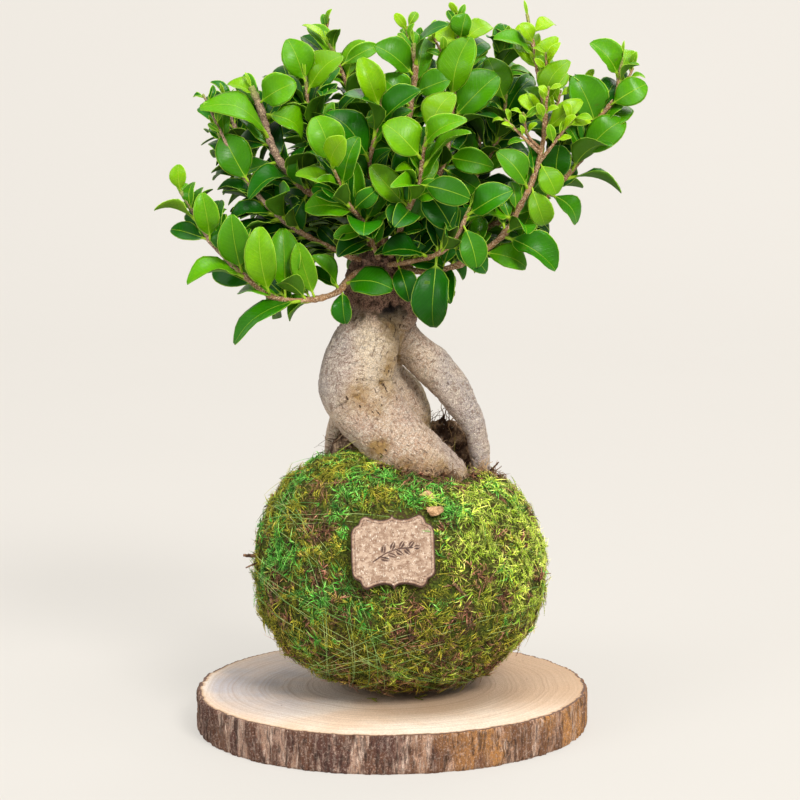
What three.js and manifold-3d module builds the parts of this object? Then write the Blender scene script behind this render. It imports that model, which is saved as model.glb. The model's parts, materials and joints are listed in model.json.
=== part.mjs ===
// A potless moss ball plant: a fat-rooted fig grown in a ball of soil, wrapped in moss, tied with thread,
// with a small shaped plaque on its front, resting on a round slice of a log.
// Millimetres, +Z up, +X to the right and +Y away from whoever looks at the plaque.
// The origin is the centre of the log slice's underside.

import * as THREE from "three";
import { mergeVertices } from "three/addons/utils/BufferGeometryUtils.js";
import Module from "manifold-3d";

const wasm = await Module();
wasm.setup();

// Driving dimensions
const clearance = 0.35; // between pieces that touch
const slice = { radius: 98, thickness: 19, corners: 72, bands: 2 };
const ball = {
  centre: new THREE.Vector3(4.5, 0, 75), // a little to the right of the slice's centre
  halfWidth: 73,
  halfHeight: 56.6,
  fullness: 2.6, // how square the upper half's outline is, where 2 is an ellipse
  mossThickness: 8,
};
const mossHeaps = [ // direction from the ball's centre, height and spread of moss banked up round the roots
  { toward: new THREE.Vector3(-0.42, -0.24, 0.87), height: 12, spread: 0.38 },
  { toward: new THREE.Vector3(0.12, -0.46, 0.88), height: 4, spread: 0.36 },
  { toward: new THREE.Vector3(0.62, -0.1, 0.78), height: 3, spread: 0.3 },
];
const collar = { x: 13, y: 15, halfWidth: 41, halfDepth: 27 }; // where the moss stops round the roots
const soilHeaps = [ // centre and half sizes of the soil inside the collar, low all over and high behind
  [collar.x, collar.y, 118, collar.halfWidth, collar.halfDepth, 13],
  [29, 25, 124, 17, 13, 24]];
const thread = { radius: 0.45, steps: 26, sides: 3, lift: 0.8 };
const threadPlanes = [ // the direction that each loop's plane faces, and its distance as a share of the ball
  [0.55, 0, 0.83, -0.45], [-0.35, 0.25, 0.9, -0.55],
  [0.85, 0.25, 0.2, -0.62], [0.15, 0.45, 0.88, 0.3]];
const plaque = { width: 40, height: 36, thickness: 3, x: 1.2, z: 101, lean: 21, turn: -2, sunk: 1.6 };
const blade = { thickness: 0.72, arch: 0.09, root: 0.25 }; // arch per length, root per radius of the wood
const room = { trunk: 0.2, wood: 0.15, leaf: 0.32 }; // what a new leaf clears round each thing that stands
const tries = { shown: 10, ruled: 18 };
const bladeOutline = [[0.76, 0.98], [1, 0], [0.76, -0.98], [0.36, -0.76], [0, 0], [0.36, 0.76]]
  .map(([share, side]) => new THREE.Vector2(share, side)); // as shares of the length and of half the width
const upward = new THREE.Vector3(0, 0, 1);
const towardLight = new THREE.Vector3(-0.1, -0.75, 0.65);
const crownTop = new THREE.Vector3(-5, 0, 238);

// The fig's swollen roots and its crown: centre line and thickness at each point [x, y, z, radius]
const roots = {
  mainRoot: { sides: 12, steps: 13, line: [
    [-6, -1, 210, 11], [-9, -5, 201, 14.5], [-13.5, -8, 190, 17], [-18, -12, 175, 17.2],
    [-13.5, -14, 165, 17], [-7, -15, 156, 16.6], [5, -17, 145, 15.6], [16, -17, 138.5, 14],
    [27, -16, 131, 11], [34, -14, 122, 7.5]] },
  backRoot: { sides: 9, steps: 7, line: [
    [-4, 4, 197, 10], [-6, 11, 178, 12.5], [2, 16, 160, 15.5], [6, 18, 147, 14], [7, 20, 120, 9]] },
  leftRoot: { sides: 7, steps: 5, line: [
    [-18, 4, 170, 8], [-25, 11, 154, 5.6], [-28.5, 15, 143, 4.6], [-30, 16, 132, 4.6], [-31, 17, 120, 4.4]] },
  rightRoot: { sides: 9, steps: 9, line: [
    [-1, 2, 206, 9], [8, 1, 194, 9.2], [20.5, 2, 182, 9.7], [32.5, 3, 167.5, 8.2],
    [41.5, 4, 152, 5.9], [44.5, 5, 140, 5.3], [45, 5, 130, 5.4], [46, 6, 120, 5.2]] },
  crown: { sides: 12, steps: 5, line: [
    [-4, 0, 196, 12], [-4.5, 0, 205, 15.6], [-5.4, 0, 220, 17], [-5, 0, 232, 15.5], [-5, 0, 240, 9]] },
  leftStub: { sides: 6, steps: 2, line: [
    [-10, -7, 214, 6.5], [-18, -10, 229, 5.6]] },
  backStub: { sides: 6, steps: 2, line: [
    [-2, 8, 220, 6], [8, 13, 236, 5]] },
};

const shootSides = 4;
const shootStep = 11;

// Each leafy shoot: its line in space, how thick it is at each end, the leaves that show at the front
// as [place along the shoot, tip's direction seen from the front in degrees, length, width, turn, lean],
// and the leaves that fill the rest by rule.
const shoots = [
  { name: "shoot_left_low", thick: [1.9, 1.0],
    line: [[-12, -10, 231], [-19, -14, 229], [-27, -22, 221], [-42, -28, 218], [-58, -30, 220],
      [-73, -30, 232], [-87, -28, 246], [-96, -26, 261], [-102, -25, 271]],
    shown: [[0.99, 95, 14, 8, 0, 5], [0.77, 98, 25, 14, 5, 14], [0.59, 99, 31, 18, 0, 16],
      [0.45, 98, 36, 16, 0, 18], [0.39, 92, 35, 17, 10, -6], [0.27, 106, 30, 13, -15, 16],
      [0.16, 128, 22, 12, 20, 12], [0.57, -177, 30, 16, 20, 22], [0.31, -152, 41, 16, 25, 14],
      [0.4, 172, 23, 14, 30, -16], [0.24, -145, 20, 12, 20, -8], [0.14, -86, 18, 12, 10, 0],
      [0.86, 160, 22, 11, 70, 0], [0.12, 4, 26, 16, 0, 34]],
    fill: { count: 5, from: 0.25, to: 0.96, length: 24 } },
  { name: "shoot_left_upper", thick: [2.1, 1.9],
    line: [[-13, -3, 238], [-24, -8, 257], [-43, -12, 272], [-53, -14, 283], [-59, -14, 295],
      [-63, -13, 309], [-68, -12, 321]],
    shown: [[0.73, 143, 38, 20, 25, 22], [0.91, 30, 22, 17, 30, 18], [0.95, 158, 15, 10, 20, -10],
      [0.86, -24, 23, 18, -10, -12], [0.48, -176, 29, 15, 15, 14], [0.62, -157, 30, 15, 20, -20],
      [0.42, -112, 24, 13, 0, -8]],
    fill: { count: 9, from: 0.25, to: 0.93, length: 31 } },
  { name: "shoot_front_left", thick: [1.7, 0.9],
    line: [[-6, -12, 237], [-13, -27, 255], [-20, -37, 265], [-24, -43, 275], [-28, -47, 285]],
    shown: [[0.78, 76, 26, 14, 0, 10], [0.7, 150, 27, 13, 25, 16], [0.56, 42, 17, 9, 50, 26],
      [0.5, 172, 26, 15, 0, 14], [0.98, 108, 25, 19, 0, 6], [0.96, 70, 28, 12, 60, 6]],
    fill: { count: 8, from: 0.2, to: 0.97, length: 29 } },
  { name: "shoot_front_right", thick: [1.8, 0.9],
    line: [[0, -12, 238], [7, -28, 259], [13, -38, 273], [15, -43, 286], [17, -45, 298]],
    shown: [[0.84, 133, 25, 19, 0, 8], [0.99, 62, 25, 15, 0, 0], [0.93, 38, 28, 13, 15, 12],
      [0.68, 150, 14, 11, 30, 26], [0.46, 132, 28, 14, -15, 12], [0.54, 22, 18, 12, 20, 20],
      [0.66, -14, 27, 13, 30, 10]],
    fill: { count: 9, from: 0.2, to: 0.97, length: 30 } },
  { name: "shoot_front_centre", thick: [1.8, 0.9],
    line: [[-2, -9, 240], [-8, -18, 262], [-10, -24, 284], [-6, -27, 304], [-4, -28, 318]],
    shown: [[0.9, 110, 27, 17, 0, 8], [0.8, 40, 28, 17, 0, 10]],
    fill: { count: 13, from: 0.2, to: 0.98, length: 29 } },
  { name: "shoot_top_centre", thick: [2.1, 1.5],
    line: [[-4, 1, 241], [2, 0, 269], [7, -6, 295], [10, -10, 314], [12, -12, 329], [11, -12, 342]],
    shown: [[0.84, 140, 25, 18, 0, 12], [0.69, 132, 22, 16, 0, 16], [0.63, 152, 28, 16, 15, 14],
      [0.76, 22, 20, 14, 20, 10], [0.54, 150, 21, 14, 0, 20], [0.46, 150, 30, 15, -10, 12]],
    fill: { count: 14, from: 0.14, to: 0.98, length: 27 } },
  { name: "shoot_top_right", thick: [2.1, 1.0],
    line: [[2, 0, 241], [17, 0, 264], [26, -5, 284], [29, -8, 300], [31, -10, 319], [33, -10, 334],
      [34, -8, 347]],
    shown: [[0.7, 76, 33, 18, 0, 6], [0.67, 116, 26, 15, 0, 14], [0.62, 46, 32, 21, 10, 16],
      [0.74, 44, 26, 15, 25, 0], [0.96, 78, 14, 13, 0, 6], [0.97, 96, 15, 7, 0, 0],
      [0.94, 35, 21, 10, 10, 0], [0.93, 146, 19, 13, 0, 0], [0.46, -10, 24, 15, 30, 18],
      [0.41, -30, 22, 12, 30, 16]],
    fill: { count: 12, from: 0.14, to: 0.95, length: 27 } },
  { name: "shoot_right", thick: [2.1, 1.0],
    line: [[6, -10, 232], [15, -15, 231], [29, -18, 233], [43, -22, 240], [56, -24, 251], [63, -24, 264],
      [68, -24, 274], [72, -22, 286], [75, -20, 305], [72, -18, 324], [69, -16, 341], [66, -14, 356]],
    shown: [[0.33, -32, 31, 20, 0, 4], [0.25, -14, 23, 13, 5, 8], [0.39, 172, 25, 14, 20, 16],
      [0.18, 64, 18, 13, 0, 12], [0.48, 128, 25, 14, 0, 12], [0.36, 118, 32, 15, -10, 2],
      [0.87, 155, 23, 12, 20, 10], [0.81, 68, 22, 11, 0, 4], [0.91, 122, 12, 8, 0, 10],
      [0.94, 30, 15, 8, 0, 0], [0.73, 68, 25, 12, 0, 8], [0.7, 140, 16, 9, 0, 16],
      [0.66, 42, 23, 10, 20, 14], [0.57, -62, 18, 12, 0, 6], [0.5, -70, 21, 13, 0, 0]],
    fill: { count: 7, from: 0.3, to: 0.97, length: 23 } },
  { name: "shoot_right_far", thick: [2.0, 1.0],
    line: [[8, 4, 236], [24, 2, 240], [49, -3, 252], [73, -6, 265], [87, -8, 278], [97, -8, 291],
      [102, -8, 305], [110, -8, 317], [113, -6, 335]],
    shown: [[0.76, 114, 28, 21, 0, 6], [0.65, 46, 28, 15, 20, 10], [0.84, 32, 21, 13, 25, 6],
      [0.93, 128, 23, 16, 0, 0], [0.89, 110, 17, 12, 10, 12], [0.95, 74, 15, 11, 0, 0],
      [0.5, -42, 20, 12, -15, 6], [0.57, -14, 29, 12, -50, 4], [0.54, 88, 20, 14, 0, 8],
      [0.47, -118, 20, 13, 0, 6]],
    fill: { count: 11, from: 0.2, to: 0.97, length: 27 } },
  { name: "shoot_left_middle", thick: [1.8, 0.9],
    line: [[-15, -8, 236], [-30, -16, 243], [-48, -20, 253], [-63, -22, 267], [-76, -22, 285],
      [-84, -20, 299]],
    shown: [[0.7, 118, 27, 17, 0, 0], [0.78, 75, 28, 19, 0, 6], [0.58, 78, 27, 17, 0, 10],
      [0.9, 48, 16, 9, 0, 8], [0.93, 95, 18, 10, 0, 0], [0.45, 84, 28, 16, -10, 4]],
    fill: { count: 10, from: 0.25, to: 0.98, length: 26 } },
  { name: "shoot_front_low", thick: [1.7, 1.0],
    line: [[-1, -14, 234], [11, -25, 237], [23, -31, 241], [32, -36, 250], [38, -38, 264]],
    shown: [[0.5, -95, 36, 23, 0, 4], [0.1, -72, 20, 13, 0, 22], [0.42, 172, 24, 16, 10, 22],
      [0.64, -32, 22, 13, 10, 6], [0.85, -72, 22, 13, 0, 0], [0.92, 32, 26, 16, 10, 14],
      [0.72, 122, 26, 16, 0, 10]],
    fill: { count: 7, from: 0.5, to: 0.98, length: 28 } },
  { name: "shoot_middle_left", thick: [1.9, 0.9],
    line: [[-9, 2, 240], [-22, 6, 262], [-33, 4, 286], [-40, 0, 308], [-42, -3, 326]],
    shown: [[0.95, 110, 24, 17, 0, 6], [0.9, 50, 26, 18, 0, 6]],
    fill: { count: 14, from: 0.16, to: 0.98, length: 30 } },
  { name: "shoot_middle_right", thick: [1.9, 0.9],
    line: [[6, 5, 239], [24, 9, 259], [43, 8, 277], [54, 4, 298], [57, 0, 317]],
    shown: [[0.95, 110, 24, 15, 0, 6], [0.85, 60, 26, 16, 0, 6], [0.62, 150, 28, 16, 0, 6],
      [0.5, 40, 28, 16, 0, 6]],
    fill: { count: 14, from: 0.16, to: 0.98, length: 29 } },
  { name: "shoot_back_left_low", thick: [2.0, 0.9],
    line: [[-16, 6, 234], [-35, 26, 243], [-56, 42, 258], [-72, 48, 280], [-80, 46, 300], [-85, 42, 316]],
    shown: [[0.94, 120, 16, 8, 30, 0], [0.86, 82, 18, 10, 0, 0]],
    fill: { count: 11, from: 0.25, to: 0.96, length: 25 } },
  { name: "shoot_back_left", thick: [2.1, 0.9],
    line: [[-10, 6, 236], [-25, 34, 260], [-36, 50, 284], [-44, 54, 308], [-46, 48, 327]],
    shown: [],
    fill: { count: 12, from: 0.28, to: 0.98, length: 31 } },
  { name: "shoot_back_centre", thick: [2.1, 0.9],
    line: [[-5, 6, 237], [-6, 26, 270], [-14, 36, 300], [-24, 36, 325], [-31, 30, 342]],
    shown: [[0.98, 140, 18, 7, 40, 0], [0.9, 128, 24, 11, 10, 6], [0.84, 178, 27, 13, 10, 10],
      [0.88, 30, 22, 9, 30, 6], [0.78, 160, 26, 14, 20, 12]],
    fill: { count: 13, from: 0.16, to: 0.97, length: 28 } },
  { name: "shoot_back_right", thick: [2.1, 0.9],
    line: [[2, 10, 239], [18, 34, 260], [36, 48, 286], [50, 50, 314], [57, 42, 338]],
    shown: [],
    fill: { count: 12, from: 0.28, to: 0.98, length: 30 } },
  { name: "shoot_back_right_low", thick: [2.0, 0.9],
    line: [[7, 9, 232], [30, 26, 239], [56, 40, 251], [77, 46, 272], [90, 42, 296], [96, 34, 314]],
    shown: [],
    fill: { count: 13, from: 0.25, to: 0.98, length: 28 } },
  { name: "shoot_back_low", thick: [1.8, 0.9],
    line: [[-4, 14, 231], [-6, 34, 238], [-4, 54, 250], [2, 70, 266], [6, 78, 284]],
    shown: [],
    fill: { count: 11, from: 0.28, to: 0.98, length: 28 } },
];

// A small repeatable source of chance, so that the plant grows the same each time
function chanceFrom(seed) {
  let state = seed >>> 0;
  const draw = () => {
    state = (Math.imul(state, 1664525) + 1013904223) >>> 0;
    return state / 4294967296;
  };
  for (let warm = 0; warm < 3; warm++) draw();
  return draw;
}

const radians = THREE.MathUtils.degToRad;
const vectorsOf = (rows) => rows.map(([x, y, z]) => new THREE.Vector3(x, y, z));
const lineThrough = (rows) => new THREE.CatmullRomCurve3(vectorsOf(rows), false, "catmullrom", 0.5);

function solidOf(geometry) {
  const loose = geometry.index ? geometry.toNonIndexed() : geometry;
  const bare = new THREE.BufferGeometry().setAttribute("position", loose.getAttribute("position"));
  const merged = mergeVertices(bare, 1e-4);
  return new wasm.Manifold(new wasm.Mesh({
    numProp: 3,
    vertProperties: merged.attributes.position.array,
    triVerts: new Uint32Array(merged.index.array),
  }));
}

function geometryOf(solid) {
  const { vertProperties, triVerts, numProp, numVert } = solid.getMesh();
  const positions = new Float32Array(numVert * 3);
  for (let i = 0; i < numVert; i++) {
    positions.set(vertProperties.subarray(i * numProp, i * numProp + 3), i * 3);
  }
  const geometry = new THREE.BufferGeometry();
  geometry.setAttribute("position", new THREE.BufferAttribute(positions, 3));
  geometry.setIndex(new THREE.BufferAttribute(triVerts, 1));
  geometry.computeVertexNormals();
  return geometry;
}

// Moves every corner of a geometry by a function from its old place to its new one
function reshape(geometry, place) {
  const position = geometry.getAttribute("position");
  const corner = new THREE.Vector3();
  for (let i = 0; i < position.count; i++) {
    corner.fromBufferAttribute(position, i);
    place(corner);
    position.setXYZ(i, corner.x, corner.y, corner.z);
  }
  return geometry;
}

// A closed limb: a capped cylinder bent along a line, with a radius that changes on the way
function limb(curve, radiusAt, sides, steps) {
  const frames = curve.computeFrenetFrames(steps, false);
  const tube = new THREE.CylinderGeometry(1, 1, 1, sides, steps);
  return reshape(tube, (corner) => {
    const along = THREE.MathUtils.clamp(corner.y + 0.5, 0, 1);
    const ring = Math.round(along * steps);
    const radius = radiusAt(along, Math.atan2(corner.x, corner.z));
    const { x, z } = corner;
    corner.copy(curve.getPointAt(along));
    corner.addScaledVector(frames.normals[ring], z * radius);
    corner.addScaledVector(frames.binormals[ring], x * radius);
  });
}

// The radius along a root's line, smooth between its stated points, with soft swellings round it
function rootRadius(line, extra) {
  const curve = lineThrough(line);
  const profile = lineThrough(line.map(([, , , radius], i) => [i / (line.length - 1), radius, 0]));
  return (along, angle) => {
    const plain = profile.getPoint(curve.getUtoTmapping(along)).y;
    const swelling = 1 + 0.045 * Math.sin(2 * angle + 5 * along) + 0.03 * Math.sin(3 * angle - 9 * along);
    return plain * swelling + extra;
  };
}

function rootSolid({ line, sides, steps }, extra) {
  return solidOf(limb(lineThrough(line), rootRadius(line, extra), sides, steps));
}

function trunkSolid(extra) {
  return wasm.Manifold.union(Object.values(roots).map((root) => rootSolid(root, extra)));
}

// The log slice: not quite round, with a ridged bark edge and flat sawn faces
function sliceOutline(angle) {
  return slice.radius + 0.9 * Math.sin(2 * angle + 0.6) + 0.6 * Math.sin(3 * angle + 2);
}

function logSlice() {
  const { thickness, corners, bands } = slice;
  return reshape(new THREE.CylinderGeometry(1, 1, 1, corners, bands), (corner) => {
    const height = (corner.y + 0.5) * thickness;
    const angle = Math.atan2(-corner.z, corner.x);
    const reach = Math.hypot(corner.x, corner.z);
    const sawnEdge = height < 0.01 || height > thickness - 0.01 ? 0.7 : 0;
    const plates = 0.55 * Math.sin(17 * angle) + 0.45 * Math.sin(26 * angle + 1);
    const radius = reach * (sliceOutline(angle) + plates - sawnEdge);
    corner.set(Math.cos(angle) * radius, Math.sin(angle) * radius, height);
  });
}

// The height of the moss cushions above the plain ball, in any direction from its centre
function mossRelief(direction) {
  const { x, y, z } = direction;
  const banks = mossHeaps.reduce((sum, { toward, height, spread }) =>
    sum + height * Math.exp(-direction.distanceToSquared(toward) / (spread * spread)), 0);
  return banks + 1.1 * Math.sin(5.1 * x + 2.3 * z + 1) * Math.sin(4.7 * y - 3.1 * z)
    + 0.7 * Math.sin(9.3 * x - 7.1 * y + 2) * Math.cos(8.2 * z + 3.3 * y);
}

// The point in a direction from the ball's centre, at a height above the plain ball
function onBall({ x, y, z }, height) {
  const power = z > 0 ? ball.fullness : 2;
  const stretch = (Math.hypot(x, y) ** power + Math.abs(z) ** power) ** (-1 / power);
  const wide = stretch * (ball.halfWidth + height);
  return new THREE.Vector3(x * wide, y * wide, z * stretch * (ball.halfHeight + height)).add(ball.centre);
}

// A ball flattened like the moss ball, smaller by a depth, with the moss relief if asked
function ballSolid(depth, relief, around, down) {
  const sphere = new THREE.SphereGeometry(1, around, down).rotateX(Math.PI / 2);
  return solidOf(reshape(sphere, (corner) => {
    const direction = corner.clone().normalize();
    corner.copy(onBall(direction, (relief ? mossRelief(direction) : 0) - depth));
  }));
}

// Everything below the slice's top face, which the ball's small flat spot rests on
function belowSlice() {
  const size = 3 * slice.radius;
  const top = slice.thickness + clearance;
  return solidOf(new THREE.BoxGeometry(size, size, size).translate(0, 0, top - size / 2));
}

function collarSolid(extra) {
  const opening = new THREE.CylinderGeometry(1, 1, 60, 16, 1).rotateX(Math.PI / 2);
  opening.scale(collar.halfWidth + extra, collar.halfDepth + extra, 1);
  return solidOf(opening.translate(collar.x, collar.y, ball.centre.z + 50));
}

function mound([x, y, z, halfWidth, halfDepth, halfHeight]) {
  const dome = new THREE.SphereGeometry(1, 10, 7).rotateX(Math.PI / 2);
  dome.scale(halfWidth, halfDepth, halfHeight);
  return solidOf(dome.translate(x, y, z));
}

// The soil inside the moss, which shows between the roots and heaps up behind them
function soilBall() {
  const heaps = wasm.Manifold.union(soilHeaps.map(mound));
  return ballSolid(ball.mossThickness, false, 16, 10)
    .add(heaps.intersect(collarSolid(-clearance)))
    .subtract(trunkSolid(clearance))
    .subtract(belowSlice());
}

function mossCover() {
  return ballSolid(0, true, 32, 18)
    .subtract(ballSolid(ball.mossThickness - clearance, false, 16, 10))
    .subtract(collarSolid(0))
    .subtract(trunkSolid(clearance))
    .subtract(plaqueSeat())
    .subtract(belowSlice());
}

// One loop of thread drawn tight over the moss, where a plane crosses the ball
function threadLoop([x, y, z, shift]) {
  const normal = new THREE.Vector3(x, y, z).normalize();
  const across = new THREE.Vector3().crossVectors(normal, upward).normalize();
  const uphill = new THREE.Vector3().crossVectors(across, normal);
  const reach = Math.sqrt(1 - shift * shift);
  const points = Array.from({ length: thread.steps }, (_, step) => {
    const angle = (step / thread.steps) * 2 * Math.PI;
    const direction = normal.clone().multiplyScalar(shift)
      .addScaledVector(across, reach * Math.cos(angle))
      .addScaledVector(uphill, reach * Math.sin(angle));
    return onBall(direction, mossRelief(direction) + thread.radius + thread.lift);
  });
  const curve = new THREE.CatmullRomCurve3(points, true, "catmullrom", 0.5);
  return solidOf(new THREE.TubeGeometry(curve, thread.steps, thread.radius, thread.sides, true));
}

function bindingThread() {
  return wasm.Manifold.union(threadPlanes.map(threadLoop));
}

// A quarter of the plaque's shaped outline, from the peak at the top centre to the middle of its side
function plaqueOutline() {
  const quarter = [[0, 18], [1.7, 16.2], [5, 15.6], [9, 16.2], [12.6, 17.6], [15, 16.4], [16.2, 13.6],
    [18.6, 12.2], [19.8, 10], [20, 6]];
  const mirrored = (sx, sy) => quarter.map(([x, y]) => new THREE.Vector2(sx * x, sy * y));
  return [
    ...mirrored(1, 1),
    ...mirrored(1, -1).reverse(),
    ...mirrored(-1, -1).slice(1),
    ...mirrored(-1, 1).slice(1).reverse(),
  ];
}

// Stands a piece that is drawn facing -Y at the origin on the front of the ball
function onPlaquePlace(geometry) {
  const { x, z, lean, turn, sunk } = plaque;
  const rise = (z - ball.centre.z) / ball.halfHeight;
  const y = sunk - (1 - rise ** ball.fullness) ** (1 / ball.fullness) * ball.halfWidth;
  return geometry.rotateX(radians(-lean)).rotateY(radians(turn)).translate(x, y, z);
}

function plaqueBoard() {
  const outline = new THREE.Shape(plaqueOutline());
  const board = new THREE.ExtrudeGeometry(outline, { depth: plaque.thickness, bevelEnabled: false });
  return onPlaquePlace(board.rotateX(Math.PI / 2));
}

// The room that the plaque is pressed into the moss
function plaqueSeat() {
  const reach = 12;
  const box = new THREE.BoxGeometry(plaque.width + 1, reach, plaque.height + 1);
  return solidOf(onPlaquePlace(box.translate(0, clearance - reach / 2, 0)));
}

// The wood of a shoot: a thin limb that narrows to its tip
function shootWood(shoot, extra) {
  const curve = lineThrough(shoot.line);
  const steps = Math.round(curve.getLength() / shootStep);
  return solidOf(limb(curve, (place) => woodRadius(shoot, place) + extra, shootSides, steps));
}

const woodRadius = ({ thick: [base, tip] }, place) => base + (tip - base) * place;

// The frame of a leaf that grows from a shoot: its root in the wood, its length and its upper face
function leafFrame(shoot, place, along, facing, turn) {
  const axis = along.clone().normalize();
  const face = facing.clone().addScaledVector(axis, -facing.dot(axis)).normalize();
  face.applyAxisAngle(axis, turn);
  const base = lineThrough(shoot.line).getPointAt(place);
  base.addScaledVector(axis, blade.root * woodRadius(shoot, place));
  return { base, axis, face, across: face.clone().cross(axis) };
}

// A six-cornered leaf of even thickness, widest past its middle and arched from its base to its tip
function leafSolid({ base, axis, face, across, length, width }, extra) {
  const plate = new THREE.ExtrudeGeometry(new THREE.Shape(bladeOutline), { depth: 1, bevelEnabled: false });
  return solidOf(reshape(plate, (corner) => {
    const { x: share, y: side, z: height } = corner;
    const arch = 4 * blade.arch * length * share * (1 - share);
    const lift = arch + (height - 0.5) * (blade.thickness + 2 * extra);
    corner.copy(base)
      .addScaledVector(axis, share * (length + extra))
      .addScaledVector(across, side * (width / 2 + extra))
      .addScaledVector(face, lift);
  }));
}

// A leaf that shows at the front, on its tries from the wished place to one that clears its neighbours
function shownLeaf(shoot, [place, clock, length, width, turn, lean], attempt) {
  const swing = [0, 12, -12, 24, -24, 10, -10, 36, -36, 48][attempt];
  const nudge = [0, 0, 0, 0, 0, 12, -12, 6, -6, 0][attempt];
  const tilt = radians(lean + swing);
  const angle = radians(clock + nudge);
  const along = new THREE.Vector3(
    Math.cos(angle) * Math.cos(tilt), -Math.sin(tilt), Math.sin(angle) * Math.cos(tilt));
  return { ...leafFrame(shoot, place, along, towardLight, radians(turn)), length, width };
}

// A leaf placed by rule: round the shoot by the golden angle, facing up, outwards and to the shoot's tip
function ruledLeaf(shoot, number, index, attempt) {
  const { count, from, to, length } = shoot.fill;
  const chance = chanceFrom(number * 977 + index * 131 + 17);
  const [jitter, spin, rise, size, slim, roll] = Array.from({ length: 6 }, chance);
  const place = from + ((to - from) * (index + 0.2 + 0.6 * jitter)) / count;
  const curve = lineThrough(shoot.line);
  const tangent = curve.getTangentAt(place);
  const sideways = new THREE.Vector3().crossVectors(tangent, upward).normalize();
  const third = new THREE.Vector3().crossVectors(tangent, sideways);
  const azimuth = radians(index * 137.5 + number * 40 + 40 * spin + attempt * 67);
  const open = radians(64 - 22 * place + 16 * (rise - 0.5) + [0, 8, -8][attempt % 3]);
  const outward = curve.getPointAt(place).sub(crownTop).normalize();
  const along = tangent.clone().multiplyScalar(Math.cos(open))
    .addScaledVector(sideways, Math.sin(open) * Math.cos(azimuth))
    .addScaledVector(third, Math.sin(open) * Math.sin(azimuth))
    .addScaledVector(outward, 0.3)
    .addScaledVector(upward, 0.12);
  const facing = upward.clone().multiplyScalar(0.35).addScaledVector(tangent, 0.25)
    .addScaledVector(outward, 0.35).addScaledVector(towardLight, 0.45);
  const young = place > 0.9 ? 0.62 : 1;
  const full = length * young * (0.82 + 0.34 * size) * 0.975 ** attempt;
  return {
    ...leafFrame(shoot, place, along, facing, radians(50 * (roll - 0.5))),
    length: full,
    width: full * (0.5 + 0.14 * slim),
  };
}

// Grows every leaf in turn and keeps the first try that clears all that stands already
function growLeaves() {
  const standing = [{ owner: "trunk", solid: trunkSolid(room.trunk) },
    ...shoots.map((shoot) => ({ owner: shoot.name, wood: true, solid: shootWood(shoot, room.wood) }))];
  standing.forEach((piece) => { piece.box = piece.solid.boundingBox(); });
  const apart = (a, b) => [0, 1, 2].some((k) => a.min[k] > b.max[k] || b.min[k] > a.max[k]);
  const leaves = new Map(shoots.map((shoot) => [shoot.name, []]));

  const settle = (shoot, most, leafAt) => {
    for (let attempt = 0; attempt < most; attempt++) {
      const leaf = leafAt(attempt);
      const solid = leafSolid(leaf, room.leaf);
      const box = solid.boundingBox();
      const blocked = standing.some((piece) => !(piece.wood && piece.owner === shoot.name)
        && !apart(box, piece.box) && !solid.intersect(piece.solid).isEmpty());
      if (blocked) continue;
      standing.push({ owner: shoot.name, solid, box });
      leaves.get(shoot.name).push(leafSolid(leaf, 0));
      return;
    }
  };

  shoots.forEach((shoot) => {
    shoot.shown.forEach((row) => settle(shoot, tries.shown, (attempt) => shownLeaf(shoot, row, attempt)));
  });
  shoots.forEach((shoot, number) => {
    for (let index = 0; index < shoot.fill.count; index++) {
      settle(shoot, tries.ruled, (attempt) => ruledLeaf(shoot, number, index, attempt));
    }
  });
  return leaves;
}

function finish(color, roughness) {
  return new THREE.MeshStandardMaterial({ color, roughness, metalness: 0 });
}

const finishes = {
  wood: finish(0xc9a97c, 0.7),
  soil: finish(0x2e2118, 0.95),
  moss: finish(0x5d7f24, 0.9),
  thread: finish(0x3f7a3a, 0.6),
  plaque: finish(0xd8b893, 0.8),
  bark: finish(0xa58d74, 0.75),
  leaf: finish(0x2f8a1a, 0.4),
};

const part = new THREE.Group();
function add(name, geometry, material) {
  const mesh = new THREE.Mesh(geometry, material);
  mesh.name = name;
  part.add(mesh);
}

const sockets = wasm.Manifold.union(shoots.map((shoot) => shootWood(shoot, clearance)));
add("log_slice", logSlice(), finishes.wood);
add("soil_ball", geometryOf(soilBall()), finishes.soil);
add("moss_cover", geometryOf(mossCover()), finishes.moss);
add("binding_thread", geometryOf(bindingThread()), finishes.thread);
add("plaque", plaqueBoard(), finishes.plaque);
add("fig_trunk", geometryOf(trunkSolid(0).subtract(sockets)), finishes.bark);

const leaves = growLeaves();
for (const shoot of shoots) {
  const grown = wasm.Manifold.union([shootWood(shoot, 0), ...leaves.get(shoot.name)]);
  add(shoot.name, geometryOf(grown), finishes.leaf);
}

export default part;
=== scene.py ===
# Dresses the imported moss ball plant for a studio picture: a small fig with swollen roots and
# glossy leaves, a ball of living moss, a plain plaque and the slice of a log that it rests on.
# Metres, +Z up, the plaque faces -Y.
import json
import math

import bmesh
import bpy
import numpy as np
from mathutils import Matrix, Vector, noise
from mathutils.bvhtree import BVHTree
from mathutils.kdtree import KDTree

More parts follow.
